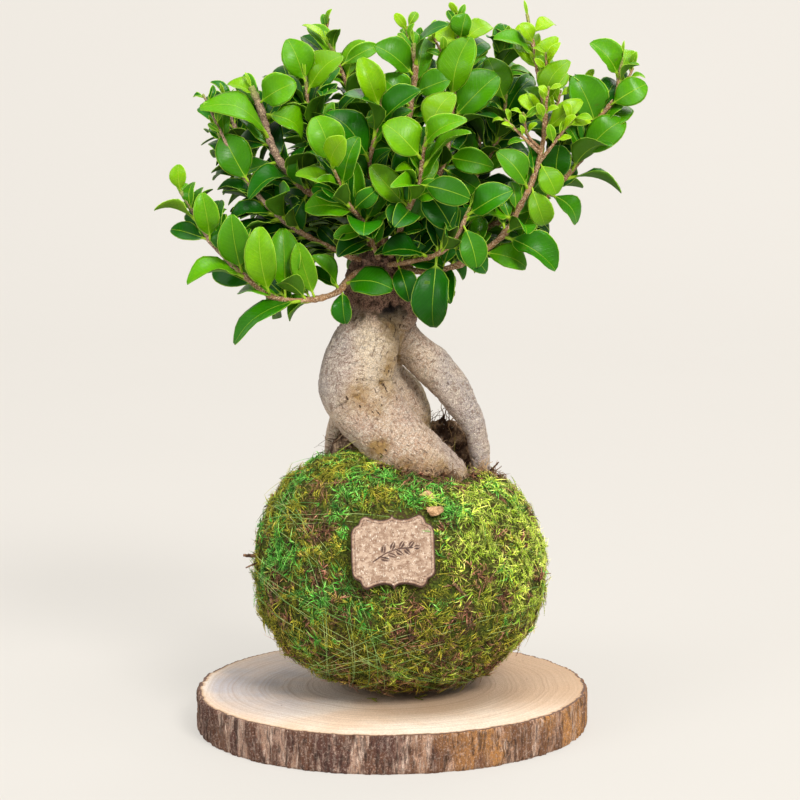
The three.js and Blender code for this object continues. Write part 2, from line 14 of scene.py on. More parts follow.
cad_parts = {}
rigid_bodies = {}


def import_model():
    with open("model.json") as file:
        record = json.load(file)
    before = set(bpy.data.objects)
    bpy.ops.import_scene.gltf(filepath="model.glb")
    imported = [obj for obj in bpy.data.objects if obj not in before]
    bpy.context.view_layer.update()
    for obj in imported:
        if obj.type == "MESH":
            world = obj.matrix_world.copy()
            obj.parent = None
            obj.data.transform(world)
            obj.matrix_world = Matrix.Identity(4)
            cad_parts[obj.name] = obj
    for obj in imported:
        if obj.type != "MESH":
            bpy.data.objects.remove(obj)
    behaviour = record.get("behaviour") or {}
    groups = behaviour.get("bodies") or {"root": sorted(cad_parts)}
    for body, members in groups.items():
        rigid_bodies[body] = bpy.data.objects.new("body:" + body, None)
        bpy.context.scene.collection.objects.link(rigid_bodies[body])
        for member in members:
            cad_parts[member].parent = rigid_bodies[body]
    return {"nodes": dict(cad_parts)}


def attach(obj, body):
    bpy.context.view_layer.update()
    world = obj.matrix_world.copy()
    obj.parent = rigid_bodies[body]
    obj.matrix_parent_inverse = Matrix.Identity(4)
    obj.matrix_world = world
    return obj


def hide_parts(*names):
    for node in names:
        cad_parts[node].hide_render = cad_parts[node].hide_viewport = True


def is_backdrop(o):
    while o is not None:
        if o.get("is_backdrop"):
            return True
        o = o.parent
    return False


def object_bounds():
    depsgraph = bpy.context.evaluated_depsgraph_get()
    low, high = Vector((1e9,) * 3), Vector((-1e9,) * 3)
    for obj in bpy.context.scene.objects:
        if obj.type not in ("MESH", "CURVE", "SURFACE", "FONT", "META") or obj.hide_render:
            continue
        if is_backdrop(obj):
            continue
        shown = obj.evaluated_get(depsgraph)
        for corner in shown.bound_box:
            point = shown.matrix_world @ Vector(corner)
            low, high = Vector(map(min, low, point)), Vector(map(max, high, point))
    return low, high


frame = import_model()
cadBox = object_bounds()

mm = 0.001
perSquareCentimetre = 10000.0  # as a count on a square metre
scene = bpy.context.scene
view = {"target": (4.5, 0, 165.11), "distance": 1300, "elevation": 8.0, "lens": 117.0}  # the photo's camera, mm
# Fixed starts of the rows of random draws; moss and crumbs have theirs beside them
seeds = {"sideTwigs": 6400, "filling": 8800, "leaves": 5100, "rootlets": 77, "litter": 3100, "thread": 15}
print("frame loaded:", len(frame["nodes"]), "nodes")


# Small helpers for meshes, node trees and places
def addObject(name, mesh):
    piece = bpy.data.objects.new(name, mesh)
    scene.collection.objects.link(piece)
    return piece


def meshFrom(name, corners, faces=(), edges=()):
    mesh = bpy.data.meshes.new(name)
    mesh.from_pydata([tuple(corner) for corner in corners], list(edges), list(faces))
    mesh.update()
    return mesh


def meshOf(shape, name):
    mesh = bpy.data.meshes.new(name)
    shape.to_mesh(mesh)
    shape.free()
    return mesh


def belt(near, far, count):
    # The four-sided faces between two rings, each given by its first corner
    return [(near + k, near + (k + 1) % count, far + (k + 1) % count, far + k) for k in range(count)]


def fan(start, tip, count):
    return [(start + k, start + (k + 1) % count, tip) for k in range(count)]


def tubeFaces(last, around):
    # Rings of corners joined into a tube, which one face closes at each end
    faces = [face for row in range(0, last, around) for face in belt(row, row + around, around)]
    return faces + [tuple(range(around))[::-1], tuple(range(last, last + around))]


def cornersOf(mesh):
    flat = np.empty(len(mesh.vertices) * 3)
    mesh.vertices.foreach_get("co", flat)
    return flat.reshape(-1, 3)


def normalsOf(mesh):
    flat = np.empty(len(mesh.vertices) * 3)
    mesh.vertex_normals.foreach_get("vector", flat)
    return flat.reshape(-1, 3)


def moveCorners(mesh, corners):
    mesh.vertices.foreach_set("co", np.asarray(corners, float).ravel())
    mesh.update()


def addAttribute(mesh, name, values):
    values = np.asarray(values, float)
    kind, key = ("FLOAT_VECTOR", "vector") if values.ndim == 2 else ("FLOAT", "value")
    mesh.attributes.new(name, kind, "POINT").data.foreach_set(key, values.ravel())


def smoothShaded(piece, material):
    piece.data.shade_smooth()
    piece.data.materials.clear()
    piece.data.materials.append(material)
    return piece


def remeshed(source, name, voxel, smoothing):
    # One closed skin over everything in the source, with its junctions softened
    skin = source.modifiers.new("skin", "REMESH")
    skin.mode = "VOXEL"
    skin.voxel_size = voxel
    soften = source.modifiers.new("soften", "SMOOTH")
    soften.factor = 0.5
    soften.iterations = smoothing
    whole = source.evaluated_get(bpy.context.evaluated_depsgraph_get())
    piece = addObject(name, bpy.data.meshes.new_from_object(whole))
    bpy.data.objects.remove(source)
    return piece


def mergedCopy(node, name):
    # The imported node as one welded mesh
    shape = bmesh.new()
    shape.from_mesh(frame["nodes"][node].data)
    bmesh.ops.remove_doubles(shape, verts=shape.verts, dist=0.002 * mm)
    mesh = meshOf(shape, name)
    mesh.materials.clear()
    return addObject(name, mesh)


def settle(piece, slotName, *nodes):
    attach(piece, "root")
    if nodes:
        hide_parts(*nodes)


bench = {"tree": None, "material": None}  # what the next nodes go to


class Wire:
    # What a node puts out, for sums with numbers and other wires
    def __init__(self, socket):
        self.socket = socket

    def __add__(self, other):
        return calc("ADD", self, other)

    def __radd__(self, other):
        return calc("ADD", other, self)

    def __sub__(self, other):
        return calc("SUBTRACT", self, other)

    def __rsub__(self, other):
        return calc("SUBTRACT", other, self)

    def __mul__(self, other):
        return calc("MULTIPLY", self, other)

    def __rmul__(self, other):
        return calc("MULTIPLY", other, self)


class Placed:
    # A node of the tree, which gives its outputs by name or number
    def __init__(self, node):
        self.node = node

    def __getitem__(self, key):
        return Wire(self.node.outputs[key])


def feed(socket, value):
    if isinstance(value, Wire):
        bench["tree"].links.new(value.socket, socket)
    elif value is not None:
        socket.default_value = value


def addNode(kind, inputs=None, **options):
    node = bench["tree"].nodes.new(kind)
    for option, value in options.items():
        setattr(node, option, value)
    for socket, value in (inputs or {}).items():
        feed(node.inputs[socket], value)
    return Placed(node)


def wired(kind, inputs=None, out=0, **options):
    return addNode(kind, inputs, **options)[out]


def calc(operation, *terms, clamp=False):
    return wired("ShaderNodeMath", dict(enumerate(terms)), operation=operation, use_clamp=clamp)


def vectorCalc(operation, *terms):
    sockets = (0, "Scale") if operation == "SCALE" else range(3)
    out = "Value" if operation in ("LENGTH", "DOT_PRODUCT", "DISTANCE") else "Vector"
    return wired("ShaderNodeVectorMath", dict(zip(sockets, terms)), out, operation=operation)


def ranged(*terms):
    # Eases a value between two limits: value, limits and, where they aren't 0 and 1, the two ends
    return wired("ShaderNodeMapRange", dict(enumerate(terms)), interpolation_type="SMOOTHSTEP")


def mixColour(share, *colours, mode="MIX"):
    first, second = [(*colour, 1) if isinstance(colour, tuple) else colour for colour in colours]
    return wired("ShaderNodeMix", {0: share, 6: first, 7: second}, 2, data_type="RGBA", blend_type=mode)


def layered(colour, *layers):
    # Lays one colour after another over the first, each by its own mask
    for mask, shade in layers:
        colour = mixColour(mask, colour, shade)
    return colour


def newTree(name, kind, inputs, outputs):
    tree = bench["tree"] = bpy.data.node_groups.new(name, kind)
    for label, (socketKind, value) in inputs.items():
        socket = tree.interface.new_socket(label, in_out="INPUT", socket_type="NodeSocket" + socketKind)
        if value is not None:
            socket.default_value = value
    for label, socketKind in outputs.items():
        tree.interface.new_socket(label, in_out="OUTPUT", socket_type="NodeSocket" + socketKind)
    return tree, addNode("NodeGroupInput"), addNode("NodeGroupOutput").node.inputs


def geometryTree(name, inputs):
    # Every geometry tree takes a geometry and a material besides its own inputs
    inputs = {"Geometry": ("Geometry", None), **inputs, "Finish": ("Material", None)}
    return newTree(name, "GeometryNodeTree", inputs, {"Geometry": "Geometry"})


def finishTree(tree, given, result, geometry):
    finished = wired("GeometryNodeSetMaterial", {"Geometry": geometry, "Material": given["Finish"]})
    feed(result["Geometry"], finished)
    return tree


def growWith(source, tree, name, values):
    # Runs a geometry tree on the source and keeps its result as a plain mesh
    grow = source.modifiers.new("grow", "NODES")
    grow.node_group = tree
    for socket in tree.interface.items_tree:
        if socket.in_out == "INPUT" and socket.name in values:
            grow[socket.identifier] = values[socket.name]
    whole = source.evaluated_get(bpy.context.evaluated_depsgraph_get())
    piece = addObject(name, bpy.data.meshes.new_from_object(whole))
    bpy.data.objects.remove(source)
    piece.data.materials.clear()
    piece.data.materials.append(values["Finish"])
    return piece


def keepAttributes(piece, *kept):
    for name in [layer.name for layer in piece.data.attributes]:
        layer = piece.data.attributes[name]
        if name not in kept and not layer.is_required and not layer.is_internal:
            piece.data.attributes.remove(layer)


def chanceFrom(seed):
    # The same small source of chance that grew the solids
    state = seed & 0xFFFFFFFF

    def draw():
        nonlocal state
        state = (state * 1664525 + 1013904223) & 0xFFFFFFFF
        return state / 4294967296

    for _ in range(3):
        draw()
    return draw


def clamped(value, low=0, high=1):
    return min(max(value, low), high)


def unit(vector):
    return vector / np.linalg.norm(vector)


def turned(vector, axis, angle):
    aside = np.cross(axis, vector)
    return vector * math.cos(angle) + aside * math.sin(angle) + axis * (axis @ vector) * (1 - math.cos(angle))


class SmoothLine:
    # A smooth line through points, in millimetres, with places on it as shares of its length
    def __init__(self, points):
        self.points = [np.array(point[:3], float) for point in points]
        marks = np.array([self.at(step / 200) for step in range(201)])
        self.lengths = np.concatenate([[0], np.cumsum(np.linalg.norm(np.diff(marks, axis=0), axis=1))])

    def at(self, share):
        last = len(self.points) - 1
        index = min(int(last * share), last - 1)
        weight = last * share - index
        start, end = self.points[index], self.points[index + 1]
        before = self.points[index - 1] if index else 2 * start - end
        after = self.points[index + 2] if index + 2 <= last else 2 * end - start
        leave, arrive = (end - before) / 2, (after - start) / 2
        second = 3 * (end - start) - 2 * leave - arrive
        third = 2 * (start - end) + leave + arrive
        return start + weight * (leave + weight * (second + weight * third))

    def shareAt(self, place):
        target = place * self.lengths[-1]
        index = min(int(np.searchsorted(self.lengths, target, side="right")) - 1, 199)
        step = self.lengths[index + 1] - self.lengths[index]
        return (index + (target - self.lengths[index]) / step) / 200

    def along(self, place):
        return self.at(self.shareAt(place))

    def tangent(self, place):
        share = self.shareAt(place)
        return unit(self.at(min(share + 0.0001, 1)) - self.at(max(share - 0.0001, 0)))


# Shader groups that several materials share
def mottleGroup():
    # A cloudy mask between two limits, at a scale and with a detail of its own
    tree, given, result = newTree("mottle", "ShaderNodeTree", {
        "Vector": ("Vector", None), "Scale": ("Float", 100.0),
        "Detail": ("Float", 4.0), "Low": ("Float", 0.4),
        "High": ("Float", 0.6)}, {"Mask": "Float"})
    cloud = addNode("ShaderNodeTexNoise", {"Vector": given["Vector"], "Scale": given["Scale"],
        "Detail": given["Detail"]})
    feed(result["Mask"], ranged(cloud[0], given["Low"], given["High"]))
    return tree


def specksGroup():
    # Small round specks, as of pores, grit or dust
    tree, given, result = newTree("specks", "ShaderNodeTree", {
        "Vector": ("Vector", None), "Scale": ("Float", 400.0),
        "Size": ("Float", 0.25), "Share": ("Float", 0.3)},
        {"Mask": "Float"})
    cells = addNode("ShaderNodeTexVoronoi", {"Vector": given["Vector"], "Scale": given["Scale"]})
    pick = addNode("ShaderNodeSeparateColor", {"Color": cells["Color"]})
    chosen = calc("LESS_THAN", pick[0], given["Share"])
    disc = ranged(cells["Distance"], given["Size"], given["Size"] * 0.4)
    feed(result["Mask"], chosen * disc)
    return tree


mottleTree, specksTree = mottleGroup(), specksGroup()


def mottle(vector, scale, low=0.4, high=0.6, detail=4.0):
    return wired("ShaderNodeGroup", {"Vector": vector, "Scale": scale, "Low": low, "High": high,
        "Detail": detail}, node_tree=mottleTree)


def specks(vector, scale, size=0.25, share=0.3):
    return wired("ShaderNodeGroup", {"Vector": vector, "Scale": scale, "Size": size, "Share": share},
        node_tree=specksTree)


def newMaterial(name, roughness, specular=0.5):
    material = bench["material"] = bpy.data.materials.new(name)
    material.use_nodes = True
    bench["tree"] = material.node_tree
    shader = material.node_tree.nodes["Principled BSDF"]
    shader.inputs["Roughness"].default_value = roughness
    shader.inputs["Specular IOR Level"].default_value = specular
    return shader


def painted(colour, height=None, depth=0.0):
    # Ends the material on the bench with its colour and its relief
    sockets = bench["tree"].nodes["Principled BSDF"].inputs
    feed(sockets["Base Color"], colour)
    if height is not None:
        feed(sockets["Normal"], wired("ShaderNodeBump", {"Height": height, "Distance": depth}))
    return bench["material"]


def attribute(name, out="Vector"):
    return wired("ShaderNodeAttribute", out=out, attribute_name=name)


def objectPlace():
    return wired("ShaderNodeTexCoord", out="Object")


def stretched(vector, x, y, z):
    return vectorCalc("MULTIPLY", vector, (x, y, z))


# The shoots, as the solids have them: line, thickness, leaves that show and leaves that fill
# shown: place along, direction of the tip seen from the front, length, width, turn, lean
shoots = [
    {"name": "shoot_left_low", "thick": [1.9, 1.0], "fill": [5, 0.25, 0.96, 24],
     "line": [[-12, -10, 231], [-19, -14, 229], [-27, -22, 221], [-42, -28, 218], [-58, -30, 220], [-73, -30, 232],
      [-87, -28, 246], [-96, -26, 261], [-102, -25, 271]],
     "shown": [[0.99, 95, 14, 8, 0, 5], [0.77, 98, 25, 14, 5, 14], [0.59, 99, 31, 18, 0, 16],
      [0.45, 98, 36, 16, 0, 18], [0.39, 92, 35, 17, 10, -6], [0.27, 106, 30, 13, -15, 16],
      [0.16, 128, 22, 12, 20, 12], [0.57, -177, 30, 16, 20, 22], [0.31, -152, 41, 16, 25, 14],
      [0.4, 172, 23, 14, 30, -16], [0.24, -145, 20, 12, 20, -8], [0.14, -86, 18, 12, 10, 0],
      [0.86, 160, 22, 11, 70, 0], [0.12, 4, 26, 16, 0, 34]]},
    {"name": "shoot_left_upper", "thick": [2.1, 1.9], "fill": [9, 0.25, 0.93, 31],
     "line": [[-13, -3, 238], [-24, -8, 257], [-43, -12, 272], [-53, -14, 283], [-59, -14, 295], [-63, -13, 309],
      [-68, -12, 321]],
     "shown": [[0.73, 143, 38, 20, 25, 22], [0.91, 30, 22, 17, 30, 18], [0.95, 158, 15, 10, 20, -10],
      [0.86, -24, 23, 18, -10, -12], [0.48, -176, 29, 15, 15, 14], [0.62, -157, 30, 15, 20, -20],
      [0.42, -112, 24, 13, 0, -8]]},
    {"name": "shoot_front_left", "thick": [1.7, 0.9], "fill": [8, 0.2, 0.97, 29],
     "line": [[-6, -12, 237], [-13, -27, 255], [-20, -37, 265], [-24, -43, 275], [-28, -47, 285]],
     "shown": [[0.78, 76, 26, 14, 0, 10], [0.7, 150, 27, 13, 25, 16], [0.56, 42, 17, 9, 50, 26],
      [0.5, 172, 26, 15, 0, 14], [0.98, 108, 25, 19, 0, 6], [0.96, 70, 28, 12, 60, 6]]},
    {"name": "shoot_front_right", "thick": [1.8, 0.9], "fill": [9, 0.2, 0.97, 30],
     "line": [[0, -12, 238], [7, -28, 259], [13, -38, 273], [15, -43, 286], [17, -45, 298]],
     "shown": [[0.84, 133, 25, 19, 0, 8], [0.99, 62, 25, 15, 0, 0], [0.93, 38, 28, 13, 15, 12],
      [0.68, 150, 14, 11, 30, 26], [0.46, 132, 28, 14, -15, 12], [0.54, 22, 18, 12, 20, 20],
      [0.66, -14, 27, 13, 30, 10]]},
    {"name": "shoot_front_centre", "thick": [1.8, 0.9], "fill": [13, 0.2, 0.98, 29],
     "line": [[-2, -9, 240], [-8, -18, 262], [-10, -24, 284], [-6, -27, 304], [-4, -28, 318]],
     "shown": [[0.9, 110, 27, 17, 0, 8], [0.8, 40, 28, 17, 0, 10]]},
    {"name": "shoot_top_centre", "thick": [2.1, 1.5], "fill": [14, 0.14, 0.98, 27],
     "line": [[-4, 1, 241], [2, 0, 269], [7, -6, 295], [10, -10, 314], [12, -12, 329], [11, -12, 342]],
     "shown": [[0.84, 140, 25, 18, 0, 12], [0.69, 132, 22, 16, 0, 16], [0.63, 152, 28, 16, 15, 14],
      [0.76, 22, 20, 14, 20, 10], [0.54, 150, 21, 14, 0, 20], [0.46, 150, 30, 15, -10, 12]]},
    {"name": "shoot_top_right", "thick": [2.1, 1.0], "fill": [12, 0.14, 0.95, 27],
     "line": [[2, 0, 241], [17, 0, 264], [26, -5, 284], [29, -8, 300], [31, -10, 319], [33, -10, 334],
      [34, -8, 347]],
     "shown": [[0.7, 76, 33, 18, 0, 6], [0.67, 116, 26, 15, 0, 14], [0.62, 46, 32, 21, 10, 16],
      [0.74, 44, 26, 15, 25, 0], [0.96, 78, 14, 13, 0, 6], [0.97, 96, 15, 7, 0, 0], [0.94, 35, 21, 10, 10, 0],
      [0.93, 146, 19, 13, 0, 0], [0.46, -10, 24, 15, 30, 18], [0.41, -30, 22, 12, 30, 16]]},
    {"name": "shoot_right", "thick": [2.1, 1.0], "fill": [7, 0.3, 0.97, 23],
     "line": [[6, -10, 232], [15, -15, 231], [29, -18, 233], [43, -22, 240], [56, -24, 251], [63, -24, 264],
      [68, -24, 274], [72, -22, 286], [75, -20, 305], [72, -18, 324], [69, -16, 341], [66, -14, 356]],
     "shown": [[0.33, -32, 31, 20, 0, 4], [0.25, -14, 23, 13, 5, 8], [0.39, 172, 25, 14, 20, 16],
      [0.18, 64, 18, 13, 0, 12], [0.48, 128, 25, 14, 0, 12], [0.36, 118, 32, 15, -10, 2],
      [0.87, 155, 23, 12, 20, 10], [0.81, 68, 22, 11, 0, 4], [0.91, 122, 12, 8, 0, 10], [0.94, 30, 15, 8, 0, 0],
      [0.73, 68, 25, 12, 0, 8], [0.7, 140, 16, 9, 0, 16], [0.66, 42, 23, 10, 20, 14], [0.57, -62, 18, 12, 0, 6],
      [0.5, -70, 21, 13, 0, 0]]},
    {"name": "shoot_right_far", "thick": [2.0, 1.0], "fill": [11, 0.2, 0.97, 27],
     "line": [[8, 4, 236], [24, 2, 240], [49, -3, 252], [73, -6, 265], [87, -8, 278], [97, -8, 291],
      [102, -8, 305], [110, -8, 317], [113, -6, 335]],
     "shown": [[0.76, 114, 28, 21, 0, 6], [0.65, 46, 28, 15, 20, 10], [0.84, 32, 21, 13, 25, 6],
      [0.93, 128, 23, 16, 0, 0], [0.89, 110, 17, 12, 10, 12], [0.95, 74, 15, 11, 0, 0], [0.5, -42, 20, 12, -15, 6],
      [0.57, -14, 29, 12, -50, 4], [0.54, 88, 20, 14, 0, 8], [0.47, -118, 20, 13, 0, 6]]},
    {"name": "shoot_left_middle", "thick": [1.8, 0.9], "fill": [10, 0.25, 0.98, 26],
     "line": [[-15, -8, 236], [-30, -16, 243], [-48, -20, 253], [-63, -22, 267], [-76, -22, 285], [-84, -20, 299]],
     "shown": [[0.7, 118, 27, 17, 0, 0], [0.78, 75, 28, 19, 0, 6], [0.58, 78, 27, 17, 0, 10],
      [0.9, 48, 16, 9, 0, 8], [0.93, 95, 18, 10, 0, 0], [0.45, 84, 28, 16, -10, 4]]},
    {"name": "shoot_front_low", "thick": [1.7, 1.0], "fill": [7, 0.5, 0.98, 28],
     "line": [[-1, -14, 234], [11, -25, 237], [23, -31, 241], [32, -36, 250], [38, -38, 264]],
     "shown": [[0.5, -95, 36, 23, 0, 4], [0.1, -72, 20, 13, 0, 22], [0.42, 172, 24, 16, 10, 22],
      [0.64, -32, 22, 13, 10, 6], [0.85, -72, 22, 13, 0, 0], [0.92, 32, 26, 16, 10, 14],
      [0.72, 122, 26, 16, 0, 10]]},
    {"name": "shoot_middle_left", "thick": [1.9, 0.9], "fill": [14, 0.16, 0.98, 30],
     "line": [[-9, 2, 240], [-22, 6, 262], [-33, 4, 286], [-40, 0, 308], [-42, -3, 326]],
     "shown": [[0.95, 110, 24, 17, 0, 6], [0.9, 50, 26, 18, 0, 6]]},
    {"name": "shoot_middle_right", "thick": [1.9, 0.9], "fill": [14, 0.16, 0.98, 29],
     "line": [[6, 5, 239], [24, 9, 259], [43, 8, 277], [54, 4, 298], [57, 0, 317]],
     "shown": [[0.95, 110, 24, 15, 0, 6], [0.85, 60, 26, 16, 0, 6], [0.62, 150, 28, 16, 0, 6],
      [0.5, 40, 28, 16, 0, 6]]},
    {"name": "shoot_back_left_low", "thick": [2.0, 0.9], "fill": [11, 0.25, 0.96, 25],
     "line": [[-16, 6, 234], [-35, 26, 243], [-56, 42, 258], [-72, 48, 280], [-80, 46, 300], [-85, 42, 316]],
     "shown": [[0.94, 120, 16, 8, 30, 0], [0.86, 82, 18, 10, 0, 0]]},
    {"name": "shoot_back_left", "thick": [2.1, 0.9], "fill": [12, 0.28, 0.98, 31],
     "line": [[-10, 6, 236], [-25, 34, 260], [-36, 50, 284], [-44, 54, 308], [-46, 48, 327]],
     "shown": []},
    {"name": "shoot_back_centre", "thick": [2.1, 0.9], "fill": [13, 0.16, 0.97, 28],
     "line": [[-5, 6, 237], [-6, 26, 270], [-14, 36, 300], [-24, 36, 325], [-31, 30, 342]],
     "shown": [[0.98, 140, 18, 7, 40, 0], [0.9, 128, 24, 11, 10, 6], [0.84, 178, 27, 13, 10, 10],
      [0.88, 30, 22, 9, 30, 6], [0.78, 160, 26, 14, 20, 12]]},
    {"name": "shoot_back_right", "thick": [2.1, 0.9], "fill": [12, 0.28, 0.98, 30],
     "line": [[2, 10, 239], [18, 34, 260], [36, 48, 286], [50, 50, 314], [57, 42, 338]],
     "shown": []},
    {"name": "shoot_back_right_low", "thick": [2.0, 0.9], "fill": [13, 0.25, 0.98, 28],
     "line": [[7, 9, 232], [30, 26, 239], [56, 40, 251], [77, 46, 272], [90, 42, 296], [96, 34, 314]],
     "shown": []},
    {"name": "shoot_back_low", "thick": [1.8, 0.9], "fill": [11, 0.28, 0.98, 28],
     "line": [[-4, 14, 231], [-6, 34, 238], [-4, 54, 250], [2, 70, 266], [6, 78, 284]],
     "shown": []},
]
growth = {
    "bladeThickness": 0.72, "bladeRoot": 0.25, "towardLight": np.array([-0.1, -0.75, 0.65]),
    "crownTop": np.array([-5.0, 0, 238]), "shownTries": 10, "ruledTries": 18, "match": 0.05,
    "swings": [0, 12, -12, 24, -24, 10, -10, 36, -36, 48],
    "nudges": [0, 0, 0, 0, 0, 12, -12, 6, -6, 0],
}
up = np.array([0.0, 0, 1])


def leafFrame(shoot, place, along, facing, turn):
    axis = unit(along)
    face = turned(unit(facing - axis * (facing @ axis)), axis, turn)
    base, tip = shoot["thick"]
    sunk = growth["bladeRoot"] * (base + (tip - base) * place)
    return {"root": shoot["curve"].along(place) + axis * sunk, "axis": axis, "face": face, "place": place}


def shownLeaf(shoot, row, attempt):
    place, clock, length, width, turn, lean = row
    tilt = math.radians(lean + growth["swings"][attempt])
    angle = math.radians(clock + growth["nudges"][attempt])
    along = np.array([math.cos(angle) * math.cos(tilt), -math.sin(tilt), math.sin(angle) * math.cos(tilt)])
    leaf = leafFrame(shoot, place, along, growth["towardLight"], math.radians(turn))
    return {**leaf, "length": length, "width": width}


def opened(tangent, opening, azimuth):
    # The direction that leaves a stem at an angle, on the side that the azimuth gives
    sideways = unit(np.cross(tangent, up))
    third = np.cross(tangent, sideways)
    return (tangent * math.cos(opening) + sideways * math.sin(opening) * math.cos(azimuth)
            + third * math.sin(opening) * math.sin(azimuth))


def ruledLeaf(shoot, number, index, attempt):
    count, start, end, length = shoot["fill"]
    draw = chanceFrom(number * 977 + index * 131 + 17)
    jitter, spin, rise, size, slim, roll = [draw() for _ in range(6)]
    place = start + (end - start) * (index + 0.2 + 0.6 * jitter) / count
    tangent = shoot["curve"].tangent(place)
    azimuth = math.radians(index * 137.5 + number * 40 + 40 * spin + attempt * 67)
    opening = math.radians(64 - 22 * place + 16 * (rise - 0.5) + [0, 8, -8][attempt % 3])
    outward = unit(shoot["curve"].along(place) - growth["crownTop"])
    along = opened(tangent, opening, azimuth) + outward * 0.3 + up * 0.12
    facing = up * 0.35 + tangent * 0.25 + outward * 0.35 + growth["towardLight"] * 0.45
    young = 0.62 if place > 0.9 else 1
    full = length * young * (0.82 + 0.34 * size) * 0.975 ** attempt
    leaf = leafFrame(shoot, place, along, facing, math.radians(50 * (roll - 0.5)))
    return {**leaf, "length": full, "width": full * (0.5 + 0.14 * slim)}


def nearTree(corners):
    tree = KDTree(len(corners))
    for index, corner in enumerate(corners):
        tree.insert(corner, index)
    tree.balance()
    return tree


def standingLeaves(number, shoot):
    # Of each leaf's tries, the one that the solid kept has its tip's two corners there
    tree = nearTree(cornersOf(frame["nodes"][shoot["name"]].data) / mm)

    def stands(leaf):
        tip = leaf["root"] + leaf["axis"] * leaf["length"]
        half = leaf["face"] * growth["bladeThickness"] / 2
        return all(tree.find(tip + side)[2] < growth["match"] for side in (half, -half))

    found = []
    for row in shoot["shown"]:
        tries = (shownLeaf(shoot, row, attempt) for attempt in range(growth["shownTries"]))
        found.append(next(({**leaf, "shown": True} for leaf in tries if stands(leaf)), None))
    for index in range(shoot["fill"][0]):
        tries = (ruledLeaf(shoot, number, index, attempt) for attempt in range(growth["ruledTries"]))
        found.append(next((leaf for leaf in tries if stands(leaf)), None))
    return [leaf for leaf in found if leaf]


for number, shoot in enumerate(shoots):
    shoot["curve"] = SmoothLine(shoot["line"])
    shoot["leaves"] = standingLeaves(number, shoot)
print("leaves found on the solids:", sum(len(shoot["leaves"]) for shoot in shoots))


# Leaves: the same closed flat blade stands on every root point and is bent to its form there
leafForm = {
    "rows": [0, 0.08, 0.14, 0.22, 0.32, 0.43, 0.55, 0.67, 0.78, 0.87, 0.94, 0.985],  # shares of the length
    "stalkShare": 0.12,
    "stalkRadius": 0.62 * mm,
    "halfThickness": 0.24 * mm,
    "ribDepth": 0.32 * mm,
    "round": [(0, 0), (0.12, 0), (0.19, 0.22), (0.3, 0.58), (0.42, 0.84), (0.55, 0.98), (0.66, 1.02),
              (0.77, 0.98), (0.86, 0.84), (0.93, 0.62), (0.98, 0.34), (1, 0.14)],
    "pointed": [(0, 0), (0.12, 0), (0.2, 0.3), (0.32, 0.68), (0.45, 0.94), (0.57, 1.02), (0.7, 0.96),
                (0.81, 0.78), (0.9, 0.52), (0.96, 0.28), (1, 0.06)],
    "widened": 1.12, "filledWidened": 1.0,
}


def unitBlade():
    # Corners hold (share of the length, side, upper or lower face) in place of x, y and z
    ring = [(-1, 0), (-0.8, 1), (0, 1), (0.8, 1), (1, 0), (0.7, -1), (0, -1), (-0.7, -1)]
    corners = [(share, side, height) for share in leafForm["rows"] for side, height in ring]
    around, last = len(ring), (len(leafForm["rows"]) - 1) * len(ring)
    return addObject("unitBlade", meshFrom("unitBlade", corners, tubeFaces(last, around)))


def curveNode(value, points):
    curve = addNode("ShaderNodeFloatCurve", {"Value": value})
    line = curve.node.mapping.curves[0]
    line.points[0].location, line.points[-1].location = points[0], points[-1]
    for point in points[1:-1]:
        line.points.new(*point)
    curve.node.mapping.update()
    return curve[0]


def named(name, kind="FLOAT_VECTOR"):
    return wired("GeometryNodeInputNamedAttribute", {"Name": name}, data_type=kind)


def parts(vector):
    split = addNode("ShaderNodeSeparateXYZ", {"Vector": vector})
    return [split[axis] for axis in "XYZ"]


def stored(geometry, name, value, kind="FLOAT_VECTOR"):
    return wired("GeometryNodeStoreNamedAttribute", {"Geometry": geometry, "Name": name, "Value": value},
        data_type=kind, domain="POINT")


